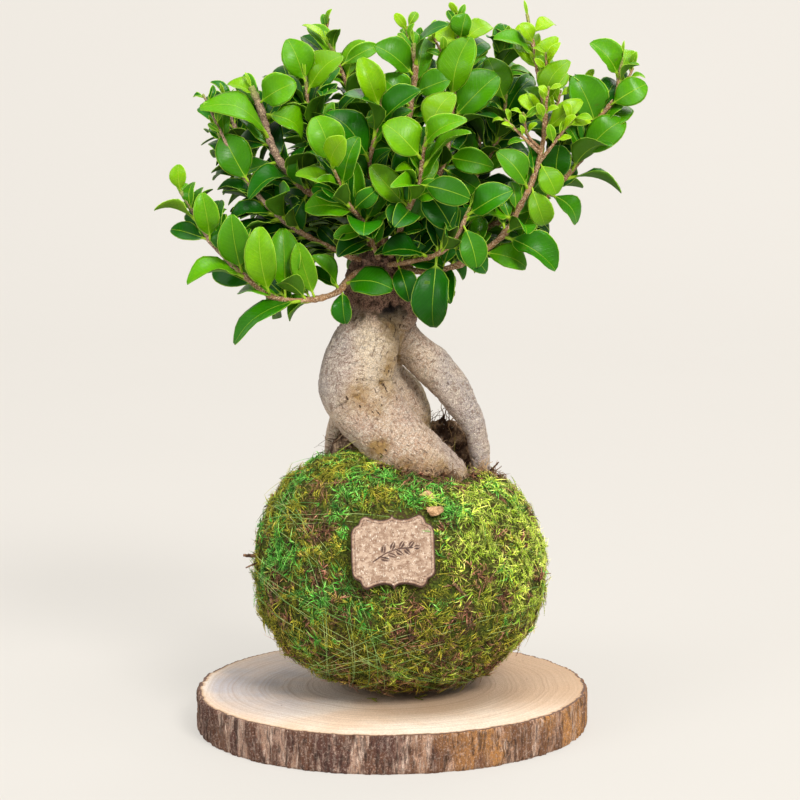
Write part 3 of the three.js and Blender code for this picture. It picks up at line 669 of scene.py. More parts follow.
def leafTree():
    tree, given, result = geometryTree("leavesOnShoot", {
        "Blade": ("Object", None), "Half thickness": ("Float", 0.0), "Stalk radius": ("Float", 0.0),
        "Stalk share": ("Float", 0.0), "Rib depth": ("Float", 0.0)})
    blade = wired("GeometryNodeObjectInfo", {"Object": given["Blade"]}, out="Geometry")
    place = wired("GeometryNodeInputPosition")
    blade = stored(blade, "unit", place)
    points = wired("GeometryNodeMeshToPoints", {"Mesh": given["Geometry"]})
    points = stored(points, "root", place)
    stood = wired("GeometryNodeInstanceOnPoints", {"Points": points, "Instance": blade})
    whole = wired("GeometryNodeRealizeInstances", {"Geometry": stood})

    share, side, height = parts(named("unit"))
    length, halfWidth, arch = parts(named("size"))
    fold, sway, blunt = parts(named("form"))
    _, draw, curl = parts(named("kind"))
    axis, face = named("axis"), named("face")
    aside = vectorCalc("CROSS_PRODUCT", face, axis)

    pointed = curveNode(share, leafForm["pointed"])
    rounded = curveNode(share, leafForm["round"])
    outline = rounded * blunt + pointed * (1.0 - blunt)
    stalk = ranged(length, 0.008, 0.03, 0.35, 1.0)
    stalkRadius = given["Stalk radius"] * stalk
    half = calc("MAXIMUM", outline * halfWidth, stalkRadius)
    across = side * half
    reach = calc("ABSOLUTE", across)

    bladeStart = given["Stalk share"] + 0.02
    folded = fold * ranged(share, bladeStart, 0.45)
    rise = reach * calc("SINE", folded)
    spread = across * calc("COSINE", folded)
    bow = share * (1.0 - share) * 4.0
    lift = bow * arch * length
    past = calc("MAXIMUM", share - 0.6, 0.0)
    droop = past * past * (curl * length)
    ripple = share * 12.0 + side * 1.1
    ripple = calc("SINE", ripple + draw * 40.0)
    edge = side * side * 0.085
    wave = ripple * edge * half
    thick = stalkRadius * ranged(share, 0.24, 0.08)
    thick = thick + given["Half thickness"] * ranged(share, 1.0, 0.9, 0.5, 1.0)
    under = calc("MAXIMUM", height * -1.0, 0.0)
    centred = calc("MAXIMUM", 1.0 - reach * 1100.0, 0.0)
    rib = under * centred * (given["Rib depth"] * (1.0 - share))
    above = height * thick - rib
    for term in (rise, lift, wave):
        above = above + term
    above = above - droop
    swayed = bow * sway * length

    spot = named("root")
    for toward, amount in ((axis, share * length), (aside, spread + swayed), (face, above)):
        spot = vectorCalc("ADD", spot, vectorCalc("SCALE", toward, amount))
    chart = wired("ShaderNodeCombineXYZ", {"X": share, "Y": across * 1000.0, "Z": half * 1000.0})
    whole = stored(whole, "leafChart", chart)
    whole = stored(whole, "leafSide", height, "FLOAT")
    whole = wired("GeometryNodeSetPosition", {"Geometry": whole, "Position": spot})
    whole = wired("GeometryNodeSetShadeSmooth", {"Geometry": whole})
    return finishTree(tree, given, result, whole)


leafColours = {
    "deep": (0.002, 0.044, 0.001),
    "full": (0.014, 0.15, 0.0),
    "fresh": (0.082, 0.30, 0.0),
    "young": (0.27, 0.50, 0.0),
    "rib": (0.36, 0.56, 0.03),
    "rim": (0.42, 0.66, 0.06),
    "underside": (0.075, 0.16, 0.006),
}


def leafMaterial():
    shader = newMaterial("fig leaf", 0.34, 0.2)
    share, across, half = parts(attribute("leafChart"))
    age, draw, _ = parts(attribute("kind"))
    side = attribute("leafSide", "Fac")
    place = objectPlace()
    clouds = mottle(place, 90, 0.35, 0.7)
    grain = mottle(place, 900, 0.35, 0.65, 2.0)
    reach = calc("ABSOLUTE", across)
    span = share * 26.0
    veinPhase = span - reach * 0.62
    veins = calc("SINE", veinPhase * 3.4)
    veins = ranged(veins, 0.86, 1.0)
    ribWidth = 0.13 + (1.0 - share) * 0.3
    rib = ranged(reach, ribWidth, 0.05)
    stalk = ranged(share, 0.2, 0.13)
    rim = ranged(half - reach, 0.5, 0.16)
    rim = rim * ranged(share, 0.12, 0.25)
    lower = ranged(side, 0.1, -0.4)

    colour = mixColour(ranged(age, 0.0, 0.42), leafColours["young"], leafColours["fresh"])
    colour = layered(colour, (ranged(age, 0.36, 0.66), leafColours["full"]),
        (ranged(age, 0.6, 1.0), leafColours["deep"]))
    darker = mixColour(1.0, colour, (0.5, 0.62, 0.5), mode="MULTIPLY")
    colour = mixColour(clouds * 0.5, colour, darker)
    lot = calc("FRACT", draw * 17.0)
    colour = mixColour(ranged(lot, 0.45, 0.0), colour, darker)
    lighter = mixColour(1.0, colour, (1.5, 1.25, 1.3), mode="MULTIPLY")
    colour = layered(colour, (veins * 0.45, lighter), (grain * 0.22, darker),
        (lower * 0.6, leafColours["underside"]), (rim * 0.85, leafColours["rim"]),
        (calc("MAXIMUM", rib * 0.75, stalk), leafColours["rib"]))
    feed(shader.inputs["Roughness"], 0.3 + clouds * 0.16 + lower * 0.26)
    shader.inputs["Subsurface Weight"].default_value = 0.12
    shader.inputs["Subsurface Radius"].default_value = (0.4, 1.0, 0.1)
    shader.inputs["Subsurface Scale"].default_value = 0.6 * mm
    return painted(colour, veins * -0.35 + grain * 0.12 + rib * -0.8, 0.12 * mm)


# How fresh the leaves of each shoot are, from 0, deep green, to 1, yellow-green; the low values of shoots low and
# deep in the crown are partly painted shade
freshnessAndShade = {
    "shoot_left_low": 0.52, "shoot_left_upper": 0.4, "shoot_front_left": 0.5, "shoot_front_right": 0.55,
    "shoot_front_centre": 0.45, "shoot_top_centre": 0.55, "shoot_top_right": 0.5, "shoot_right": 0.62,
    "shoot_right_far": 0.42, "shoot_left_middle": 0.28, "shoot_front_low": 0.3, "shoot_middle_left": 0.45,
    "shoot_middle_right": 0.36, "shoot_back_left_low": 0.22, "shoot_back_left": 0.34,
    "shoot_back_centre": 0.55, "shoot_back_right": 0.34, "shoot_back_right_low": 0.26, "shoot_back_low": 0.28,
}

# Leaves that the solids leave out: they fill the crown up to its outline seen from the front,
# [x, z] at the object's middle, clear of one another and behind the leaves that show
crownEdge = [
    [-102.5, 221.6], [-99.5, 234.1], [-93, 242.6], [-105.5, 252.6], [-111.5, 262.6], [-108, 275.1],
    [-95.5, 270.1], [-93, 285.1], [-95.5, 292.6], [-93, 305.1], [-95.5, 316.1], [-73, 325.1], [-54, 326.1],
    [-39.5, 317.6], [-30.5, 322.6], [-34.5, 335.1], [-35.5, 351.6], [-20.5, 347.6], [2, 350.1], [17, 346.1],
    [32, 355.1], [39.5, 352.6], [54.5, 353.6], [64.5, 350.1], [69.5, 359.1], [84.5, 347.6], [86, 331.6],
    [99.5, 330.1], [102, 342.6], [117, 339.1], [123.5, 321.1], [115.5, 305.1], [104.5, 295.1], [97, 285.1],
    [84.5, 270.1], [78.5, 262.6], [91, 254.1], [83, 231.6], [64.5, 231.1], [44.5, 234.1], [33, 215.1],
    [24.5, 200.1], [9.5, 205.1], [2, 215.1], [-23, 200.1], [-30.5, 215.1], [-45.5, 206.1], [-78, 196.1],
    [-65.5, 215.1]]
filling = {
    "tries": 190, "from": 0.1, "length": (17, 29), "slim": (0.5, 0.64), "near": 17.0, "clear": 16.0,
    "ahead": 3.0,
}


def seenFromFront(point):
    # Where a point stands in the picture, in millimetres at the object's middle
    x, y, z = np.asarray(point) - np.array(view["target"])
    angle = math.radians(view["elevation"])
    shrink = view["distance"] / (view["distance"] + y * math.cos(angle) - z * math.sin(angle))
    return view["target"][0] + x * shrink, view["target"][2] + (y * math.sin(angle) + z * math.cos(angle)) * shrink


def inCrown(x, z):
    inside = False
    for (x0, z0), (x1, z1) in zip(crownEdge, crownEdge[1:] + crownEdge[:1]):
        if (z0 > z) != (z1 > z) and x < x0 + (z - z0) / (z1 - z0) * (x1 - x0):
            inside = not inside
    return inside


def bladeCorners(leaf, start=0.2, wide=0.85):
    across, length = np.cross(leaf["face"], leaf["axis"]), leaf["length"]
    middle = leaf["root"] + leaf["axis"] * length * 0.6
    side = across * leaf["width"] * leafForm["filledWidened"] / 2 * wide
    return [leaf["root"] + leaf["axis"] * length * start, middle + side,
            leaf["root"] + leaf["axis"] * length * 0.97, middle - side]


def bladesTree(leaves):
    corners = [corner for leaf in leaves for corner in bladeCorners(leaf)]
    faces = [(k, k + 1, k + 2) for k in range(0, len(corners), 4)]
    faces += [(k, k + 2, k + 3) for k in range(0, len(corners), 4)]
    return BVHTree.FromPolygons([tuple(corner) for corner in corners], faces)


# Side twigs with small young leaves: the shoot that carries each, its foot and its tip seen from
# the front, how far the tip stands behind the foot, how many leaves and how long
sideTwigs = [
    ("shoot_right", (77, 305), (77.5, 339), -5, 6, 9.5), ("shoot_right", (77, 302), (85, 320), 4, 6, 10.5),
    ("shoot_right", (75, 288), (56.5, 306), -6, 6, 7.5), ("shoot_right", (75.5, 291), (66, 309), -9, 6, 8.5),
    ("shoot_right", (73.5, 283), (92, 307), -7, 7, 10), ("shoot_right", (76, 296), (79, 322), -12, 5, 8),
    ("shoot_right_far", (104, 300), (96, 323), 2, 5, 10), ("shoot_right_far", (112, 318), (121, 331), 3, 4, 9),
    ("shoot_left_middle", (-86, 280), (-94, 318), 2, 6, 8), ("shoot_back_left", (-24, 330), (-31, 356), -3, 4, 8),
    ("shoot_top_right", (36, 345), (33.5, 359), 3, 4, 8), ("shoot_top_centre", (-2, 335), (8, 352), 4, 5, 9),
    ("shoot_back_right", (50, 330), (60, 349), -4, 5, 9), ("shoot_top_right", (28, 330), (20, 349), -3, 5, 9),
    # full-grown ones in the middle, which close the gap between front and back
    ("shoot_top_centre", (0, 308), (10, 334), 23, 8, 15), ("shoot_top_right", (30, 310), (40, 335), 22, 8, 15),
    ("shoot_middle_right", (30, 280), (44, 303), 24, 8, 16), ("shoot_middle_left", (-25, 285), (-26, 310), 24, 8, 16),
    ("shoot_back_centre", (5, 285), (2, 312), -20, 8, 16), ("shoot_back_right", (40, 295), (55, 320), -20, 8, 15),
    ("shoot_back_left", (-20, 295), (-36, 320), -20, 8, 15), ("shoot_back_centre", (5, 318), (22, 340), -18, 7, 14),
]


def placedAt(x, z, y):
    # The point at depth y that stands at x and z in the picture
    angle, away = math.radians(view["elevation"]), view["distance"]
    x, z = x - view["target"][0], z - view["target"][2]
    rise = (z * (away + y * math.cos(angle)) - away * y * math.sin(angle)) / (
        away * math.cos(angle) + z * math.sin(angle))
    return np.array([view["target"][0] + x * (away + y * math.cos(angle) - rise * math.sin(angle)) / away,
                     y, view["target"][2] + rise])


def growSideTwigs():
    places = np.linspace(0.12, 0.97, 80)
    for number, (name, foot, tip, behind, count, length) in enumerate(sideTwigs):
        shoot = next(shoot for shoot in shoots if shoot["name"] == name)
        seen = np.array([seenFromFront(shoot["curve"].along(place)) for place in places])
        start = shoot["curve"].along(places[np.hypot(*(seen - foot).T).argmin()])
        end = placedAt(*tip, start[1] + behind)
        draw = chanceFrom(seeds["sideTwigs"] + number * 31)
        bow = np.array([draw() - 0.5, draw() - 0.5, -0.4]) * 0.2 * np.linalg.norm(end - start)
        side = {"curve": SmoothLine([start, (start + end) / 2 + bow, end]), "thick": (0.8, 0.55)}
        shoot["twigs"].append(side["curve"])
        for k in range(count):
            place = 0.4 + 0.58 * (k + 0.5 * draw()) / (count - 0.5)
            tangent = side["curve"].tangent(place)
            sideways = unit(np.cross(tangent, (0.3, 1, 0.2)))
            third = np.cross(tangent, sideways)
            turn, opening = 2.4 * k + 0.8 * draw(), math.radians(28 + 34 * draw())
            along = tangent * math.cos(opening) + math.sin(opening) * (
                sideways * math.cos(turn) + third * math.sin(turn) * 0.6)
            facing = growth["towardLight"] - tangent * 0.3 + 0.5 * np.array([draw() - 0.5, 0, draw() - 0.5])
            leaf = leafFrame(side, place, along, facing, math.radians(50 * (draw() - 0.5)))
            size = length * (0.75 + 0.5 * draw())
            fresh = 0.38 if length < 12 else 0.06
            shoot["filled"].append({**leaf, "length": size, "width": size * 0.5, "young": -0.1 + fresh * draw()})


def fillLeaf(shoot, draw):
    place = filling["from"] + (0.98 - filling["from"]) * draw()
    tangent, start = shoot["curve"].tangent(place), shoot["curve"].along(place)
    azimuth, opening = draw() * 2 * math.pi, math.radians(35 + 60 * draw())
    outward = unit(start - growth["crownTop"])
    along = opened(tangent, opening, azimuth) + outward * 0.2 + up * 0.25
    facing = up * 0.3 + outward * 0.35 + growth["towardLight"] * 0.55
    low, high = filling["length"]
    length = (low + (high - low) * draw()) * (0.75 if place > 0.93 else 1)
    thin, broad = filling["slim"]
    leaf = leafFrame(shoot, place, along, facing, math.radians(70 * (draw() - 0.5)))
    return {**leaf, "length": length, "width": length * (thin + (broad - thin) * draw())}


def fillCrown():
    solids = [frame["nodes"][shoot["name"]].data for shoot in shoots]
    corners, faces = [], []
    for mesh in solids:
        faces += [tuple(k + len(corners) for k in face.vertices) for face in mesh.polygons]
        corners += [tuple(corner) for corner in cornersOf(mesh) / mm]
    standing = BVHTree.FromPolygons(corners, faces)
    near = nearTree(corners)
    front = []
    for shoot in shoots:
        for leaf in shoot["leaves"]:
            if leaf.get("shown"):
                middle = leaf["root"] + leaf["axis"] * leaf["length"] * 0.6
                front.append((*seenFromFront(middle), middle[1]))
    front, kept = np.array(front), [leaf for shoot in shoots for leaf in shoot["filled"]]
    grown = bladesTree(kept)
    for number, shoot in enumerate(shoots):
        draw = chanceFrom(seeds["filling"] + number * 53)
        for _ in range(filling["tries"]):
            leaf = fillLeaf(shoot, draw)
            spots = bladeCorners(leaf, 0.5, 1.0)
            if not all(inCrown(*seenFromFront(spot)) for spot in spots):
                continue
            if any(near.find(spot)[2] > filling["near"] for spot in spots):
                continue
            middle = sum(spots) / 4
            x, z = seenFromFront(middle)
            gaps = np.hypot(front[:, 0] - x, front[:, 1] - z)
            if ((gaps < filling["clear"]) & (front[:, 2] > middle[1] - filling["ahead"])).any():
                continue
            alone = bladesTree([leaf])
            if alone.overlap(standing) or alone.overlap(grown):
                continue
            kept.append(leaf)
            shoot["filled"].append(leaf)
            grown = bladesTree(kept)
    return len(kept)


for shoot in shoots:
    shoot["twigs"], shoot["filled"] = [], []
growSideTwigs()
print("leaves filled in:", fillCrown())


def leafPoints(number, shoot):
    draw = chanceFrom(seeds["leaves"] + number * 37)
    rows = []
    for leaf in shoot["leaves"] + shoot["filled"]:
        place, mix, spread = leaf["place"], draw(), draw()
        small = max(0, 1 - leaf["length"] / 19)
        fresh = freshnessAndShade[shoot["name"]] + 0.3 * (place - 0.55) + 0.42 * (mix - 0.5) + 0.3 * small
        # Leaves that fill in behind the shown ones are made deeper green, as painted shade inside the crown
        fresh += leaf.get("young", 0.07 if leaf.get("shown") else -0.08)
        wide = leafForm["widened" if leaf.get("shown") else "filledWidened"]
        rows.append({**leaf, "age": 1 - clamped(fresh), "draw": mix, "fold": 0.12 + 0.68 * spread,
                     "width": leaf["width"] * wide, "sway": 0.08 * (draw() - 0.5),
                     "blunt": 0.1 + 0.8 * draw(), "curl": 0.1 + 1.6 * draw() ** 2,
                     "arch": 0.04 + 0.13 * draw()})
    # The closed pointed bud at the shoot's end
    tangent = shoot["curve"].tangent(0.985)
    bud = leafFrame(shoot, 0.985, tangent, growth["towardLight"], 0)
    rows.append({**bud, "length": 8 + 3 * draw(), "width": 2.3, "age": 0.2, "draw": draw(), "fold": 0.7,
                 "sway": 0, "blunt": 0, "curl": 0, "arch": 0.05})
    cloud = meshFrom(shoot["name"], [row["root"] * mm for row in rows])
    addAttribute(cloud, "axis", [row["axis"] for row in rows])
    addAttribute(cloud, "face", [row["face"] for row in rows])
    addAttribute(cloud, "size", [(row["length"] * mm, row["width"] * mm / 2, row["arch"]) for row in rows])
    addAttribute(cloud, "form", [(row["fold"], row["sway"], row["blunt"]) for row in rows])
    addAttribute(cloud, "kind", [(row["age"], row["draw"], row["curl"]) for row in rows])
    return addObject(shoot["name"] + "_roots", cloud)


leafFinish = leafMaterial()
blade, leavesTree = unitBlade(), leafTree()
for number, shoot in enumerate(shoots):
    leaves = growWith(leafPoints(number, shoot), leavesTree, shoot["name"] + "_leaves", {
        "Blade": blade, "Half thickness": leafForm["halfThickness"],
        "Stalk radius": leafForm["stalkRadius"], "Stalk share": leafForm["stalkShare"],
        "Rib depth": leafForm["ribDepth"], "Finish": leafFinish})
    keepAttributes(leaves, "leafChart", "leafSide", "kind")
    settle(leaves, "leaf", shoot["name"])
bpy.data.objects.remove(blade)
print("leaves grown")


# Wood of the shoots, roots in the soil and threads: a round skin along each line of a mesh
def strandTree():
    tree, given, result = geometryTree("strandsOnLines", {
        "Step": ("Float", 1 * mm), "Sides": ("Int", 8), "Lumps": ("Float", 0.0), "Lump scale": ("Float", 500.0)})
    lines = wired("GeometryNodeMeshToCurve", {"Mesh": given["Geometry"]})
    lines = wired("GeometryNodeResampleCurve", {"Curve": lines, "Length": given["Step"]}, mode="LENGTH")
    share = wired("GeometryNodeSplineParameter", out="Factor")
    lines = stored(lines, "along", share, "FLOAT")
    ring = wired("GeometryNodeCurvePrimitiveCircle", {"Resolution": given["Sides"], "Radius": 1.0}, out="Curve",
        mode="RADIUS")
    skin = wired("GeometryNodeCurveToMesh", {"Curve": lines, "Profile Curve": ring,
        "Scale": named("thick", "FLOAT"), "Fill Caps": True})
    place = wired("GeometryNodeInputPosition")
    cloud = wired("ShaderNodeTexNoise", {"Vector": place, "Scale": given["Lump scale"], "Detail": 2.0})
    depth = (cloud - 0.5) * given["Lumps"]
    outward = wired("GeometryNodeInputNormal")
    skin = wired("GeometryNodeSetPosition", {"Geometry": skin, "Offset": vectorCalc("SCALE", outward, depth)})
    skin = wired("GeometryNodeRealizeInstances", {"Geometry": skin})
    skin = wired("GeometryNodeSetShadeSmooth", {"Geometry": skin})
    return finishTree(tree, given, result, skin)


def linesMesh(name, lines):
    # Lines are lists of (place in metres, radius in metres)
    corners = [place for line in lines for place, _ in line]
    edges, start = [], 0
    for line in lines:
        edges += [(k, k + 1) for k in range(start, start + len(line) - 1)]
        start += len(line)
    mesh = meshFrom(name, corners, (), edges)
    addAttribute(mesh, "thick", [radius for line in lines for _, radius in line])
    return addObject(name + "_lines", mesh)


def growStrands(name, lines, finish, step, sides, lumps, lumpScale):
    return growWith(linesMesh(name, lines), strandsTree, name, {
        "Step": step, "Sides": sides, "Lumps": lumps, "Lump scale": lumpScale, "Finish": finish})


twig = {
    "skin": (0.8 * mm, 10, 0.8 * mm, 520),  # step, sides, lumps and their scale
    "slimmed": 0.82, "pointEvery": 0.7, "sideBase": 0.95, "sideTip": 0.55,
    "knuckle": 0.3, "knuckleReach": 1.5,
}


def twigLine(shoot):
    # The wood swells a little where each leaf grows from it
    curve, (base, tip) = shoot["curve"], shoot["thick"]
    count = int(curve.lengths[-1] / twig["pointEvery"])
    places = np.linspace(0, 1, count)
    spots = np.array([leaf["place"] for leaf in shoot["leaves"]]) * curve.lengths[-1]
    line = []
    for place in places:
        gap = (spots - place * curve.lengths[-1]) / twig["knuckleReach"]
        swell = 1 + twig["knuckle"] * min(np.exp(-gap * gap).sum(), 1)
        radius = (base + (tip - base) * place) * swell * twig["slimmed"]
        line.append((curve.along(place) * mm, radius * mm))
    return line


def sideTwigLine(curve):
    count = int(curve.lengths[-1] / twig["pointEvery"])
    base, thinner = twig["sideBase"], twig["sideBase"] - twig["sideTip"]
    return [(curve.along(k / count) * mm, (base - thinner * k / count) * mm) for k in range(count + 1)]


def twigMaterial():
    newMaterial("fig twig", 0.72, 0.3)
    place = objectPlace()
    along = attribute("along", "Fac")
    broad = mottle(place, 160, 0.35, 0.65)
    fine = mottle(place, 1300, 0.44, 0.62)
    pores = specks(place, 1000, 0.42, 0.4)
    colour = mixColour(broad, (0.40, 0.21, 0.09), (0.22, 0.105, 0.042))
    x, _, z = parts(place)
    greyer = ranged(x, -0.035, -0.055) * ranged(z, 0.225, 0.245)
    colour = layered(colour, (greyer * 0.7, (0.24, 0.17, 0.14)), (fine * 0.75, (0.66, 0.47, 0.30)),
        (pores * 0.8, (0.07, 0.035, 0.02)))
    green = ranged(along, 0.9, 1.0)
    colour = mixColour(green * 0.75, colour, (0.27, 0.36, 0.06))
    return painted(colour, fine - pores, 0.25 * mm)


twigFinish, strandsTree = twigMaterial(), strandTree()
for shoot in shoots:
    lines = [twigLine(shoot)] + [sideTwigLine(curve) for curve in shoot["twigs"]]
    wood = growStrands(shoot["name"] + "_wood", lines, twigFinish, *twig["skin"])
    keepAttributes(wood, "along")
    settle(wood, "bark", shoot["name"])
print("twigs grown")


# The fig's swollen roots and crown: centre line and thickness at each point [x, y, z, radius]
roots = {
    "mainRoot": [
        [-6, -1, 210, 11], [-9, -5, 201, 14.5], [-13.5, -8, 190, 17], [-18, -12, 175, 17.2],
        [-13.5, -14, 165, 17], [-7, -15, 156, 16.6], [5, -17, 145, 15.6], [16, -17, 138.5, 14],
        [27, -16, 131, 11], [34, -14, 122, 7.5]],
    "backRoot": [
        [-4, 4, 197, 10], [-6, 11, 178, 12.5], [2, 16, 160, 15.5], [6, 18, 147, 14], [7, 20, 120, 9]],
    "leftRoot": [
        [-18, 4, 170, 8], [-25, 11, 154, 5.6], [-28.5, 15, 143, 4.6], [-30, 16, 132, 4.6],
        [-31, 17, 120, 4.4]],
    "rightRoot": [
        [-1, 2, 206, 9], [8, 1, 194, 9.2], [20.5, 2, 182, 9.7], [32.5, 3, 167.5, 8.2],
        [41.5, 4, 152, 5.9], [44.5, 5, 140, 5.3], [45, 5, 130, 5.4], [46, 6, 120, 5.2]],
    "crown": [[-4, 0, 196, 12], [-4.5, 0, 205, 15.6], [-5.4, 0, 220, 17], [-5, 0, 232, 15.5], [-5, 0, 240, 9]],
    "leftStub": [[-10, -7, 214, 6.5], [-18, -10, 229, 5.6]],
    "backStub": [[-2, 8, 220, 6], [8, 13, 236, 5]],
}
trunk = {
    "sides": 40, "steps": 60, "voxel": 0.85 * mm, "smoothing": 9,
    "lumps": 1.0, "ridges": 0.2, "dents": 0.6, "neckRoughness": 2.2,
    "neck": (200, 213),  # heights between which the smooth roots turn to rough bark
    # place, width and depth of the scars and hollows
    "scars": [((-16.5, -31, 170), 4.5, 2.4), ((-12, -31, 166), 3.0, 1.4), ((-10, -17, 228), 8.0, 3.5)],
    # where the bark is rusty and creased: place and reach
    "rusty": [((1, -14, 207), 8), ((1, -15, 199), 8), ((1, -15, 190), 8), ((0, -16, 182), 7), ((-2, -22, 174), 6),
              ((-16, -29, 170), 8), ((-8, -30, 166), 5), ((22, -29, 133), 9), ((8, -30, 134), 7), ((22, 4, 150), 8),
              ((-6, -30, 146), 5), ((34, -20, 126), 8)],
}


class Limb:
    # A root with its ring frames, for its tube and for places measured along and across it
    def __init__(self, rows):
        curve = SmoothLine(rows)
        radii = SmoothLine([[index / (len(rows) - 1), row[3], 0] for index, row in enumerate(rows)])
        places = [step / trunk["steps"] for step in range(trunk["steps"] + 1)]
        self.centres = np.array([curve.along(place) for place in places])
        self.reach = np.array(places) * curve.lengths[-1]
        self.radii = np.array([radii.at(curve.shareAt(place))[1] for place in places])
        self.sides, self.others = [], []
        side = unit(np.cross(curve.tangent(0), np.array([0.2, 1, 0.1])))
        for place in places:
            tangent = curve.tangent(place)
            side = unit(side - tangent * (side @ tangent))
            self.sides.append(side)
            self.others.append(np.cross(tangent, side))
        self.sides, self.others = np.array(self.sides), np.array(self.others)

    def tube(self):
        around, corners = trunk["sides"], []
        for row, centre in enumerate(self.centres):
            place = row / trunk["steps"]
            for k in range(around):
                angle = k / around * 2 * math.pi
                swelling = 1 + 0.045 * math.sin(2 * angle + 5 * place) + 0.03 * math.sin(3 * angle - 9 * place)
                outward = self.sides[row] * math.cos(angle) + self.others[row] * math.sin(angle)
                corners.append(centre + outward * self.radii[row] * swelling)
        last = trunk["steps"] * around
        return corners, tubeFaces(last, around)

    def chart(self, points):
        # How far outside the root each point is, and its place along and across it
        best, rows = np.full(len(points), 1e9), np.zeros((len(points), 3))
        for k in range(len(self.centres) - 1):
            span = self.centres[k + 1] - self.centres[k]
            share = np.clip(((points - self.centres[k]) @ span) / (span @ span), 0, 1)[:, None]
            offset = points - self.centres[k] - share * span
            gap = np.linalg.norm(offset, axis=1) - (self.radii[k] + share[:, 0] * (self.radii[k + 1] - self.radii[k]))
            side = self.sides[k] + share * (self.sides[k + 1] - self.sides[k])
            other = self.others[k] + share * (self.others[k + 1] - self.others[k])
            along = self.reach[k] + share[:, 0] * (self.reach[k + 1] - self.reach[k])
            row = np.column_stack([along, (offset * side).sum(1), (offset * other).sum(1)])
            nearer = gap < best
            best[nearer], rows[nearer] = gap[nearer], row[nearer]
        return best, rows


def noisy(point, scale, seed=0.0):
    return noise.noise(Vector(point) * scale + Vector((seed, -seed, seed * 0.5)))


def creaseOf(mesh, places, normals, rounds):
    # Positive in hollows: how far the smoothed surface stands above the corner
    edges = np.empty(len(mesh.edges) * 2, int)
    mesh.edges.foreach_get("vertices", edges)
    first, second = edges.reshape(-1, 2).T
    counts = np.bincount(first, minlength=len(places)) + np.bincount(second, minlength=len(places))
    soft = places.copy()
    for _ in range(rounds):
        total = [np.bincount(first, soft[second, k], len(places)) + np.bincount(second, soft[first, k], len(places))
                 for k in range(3)]
        soft = np.stack(total, 1) / counts[:, None]
    return ((soft - places) * normals).sum(1)


def nearness(place, spots):
    return max(math.exp(-((place - np.array(spot)) ** 2).sum() / (reach * reach)) for spot, reach in spots)


def trunkPiece():
    limbs, corners, faces = [Limb(rows) for rows in roots.values()], [], []
    for limb in limbs:
        some, more = limb.tube()
        faces += [tuple(k + len(corners) for k in face) for face in more]
        corners += some
    rough = addObject("roots", meshFrom("roots", np.array(corners) * mm, faces))
    piece = remeshed(rough, "fig_roots", trunk["voxel"], trunk["smoothing"])

    places, normals = cornersOf(piece.data) / mm, normalsOf(piece.data)
    charts = [limb.chart(places) for limb in limbs]
    owner = np.argmin([gap for gap, _ in charts], axis=0)
    chart = np.array([charts[limb][1][index] + (limb * 40, 0, 0) for index, limb in enumerate(owner)])
    low, high = trunk["neck"]
    moved, tones = [], []
    for place, normal, (along, a, b) in zip(places, normals, chart):
        fibres = (along * 0.12, a * 0.5, b * 0.5)
        dents = (along * 0.9, a * 0.22, b * 0.22)
        neck = clamped((place[2] + 5 * noisy(place, 0.12, 4) - low) / (high - low))
        rusty = min(1.5 * nearness(place, trunk["rusty"]) * (1 + 0.8 * noisy(place, 0.4, 27)), 1)
        lift = trunk["lumps"] * noisy(place, 0.085)
        lift += (1 - neck) * trunk["ridges"] * (noisy(fibres, 1.0, 3) + noisy(place, 0.7, 14))
        dent = max(noisy(dents, 0.75, 8) - 0.18, 0) * (0.7 + 2.2 * max(noisy(place, 0.07, 9), 0) + rusty)
        lift -= (1 - neck) * trunk["dents"] * dent * 2.2
        ridge = 1 - abs(noisy((place[0], place[1], place[2] * 0.55), 0.3, 12)) * 2.4
        lift += neck * trunk["neckRoughness"] * (ridge - 0.5) + (neck + 0.5 * rusty) * 0.55 * noisy(place, 0.95, 2)
        scar = 0.0
        for spot, width, depth in trunk["scars"]:
            here = math.exp(-((place - np.array(spot)) ** 2).sum() / (width * width))
            lift -= depth * here * (0.6 + 0.8 * noisy(place, 0.5, 20))
            scar = max(scar, here)
        moved.append((place + normal * lift) * mm)
        tones.append((neck, max(scar, rusty), 0))
    tones = np.array(tones)
    # The third tone is how deep each corner lies in a hollow; the bark paints the deeper hollows dark as shade
    tones[:, 2] = creaseOf(piece.data, np.array(moved) / mm, normals, 40)
    moveCorners(piece.data, moved)
    addAttribute(piece.data, "barkChart", chart * mm)
    addAttribute(piece.data, "barkTone", tones)
    return piece


barkColours = {
    "pale": (0.84, 0.645, 0.455), "pink": (0.70, 0.485, 0.375), "grey": (0.56, 0.51, 0.52),
    "cream": (1.0, 0.90, 0.76), "ochre": (0.42, 0.25, 0.07), "brown": (0.22, 0.12, 0.07),
    "dark": (0.05, 0.028, 0.018), "neck": (0.36, 0.19, 0.13), "yellow": (0.82, 0.66, 0.32),
    "rose": (0.60, 0.37, 0.25), "lit": (1.0, 0.84, 0.60), "shade": (0.33, 0.27, 0.25),
}


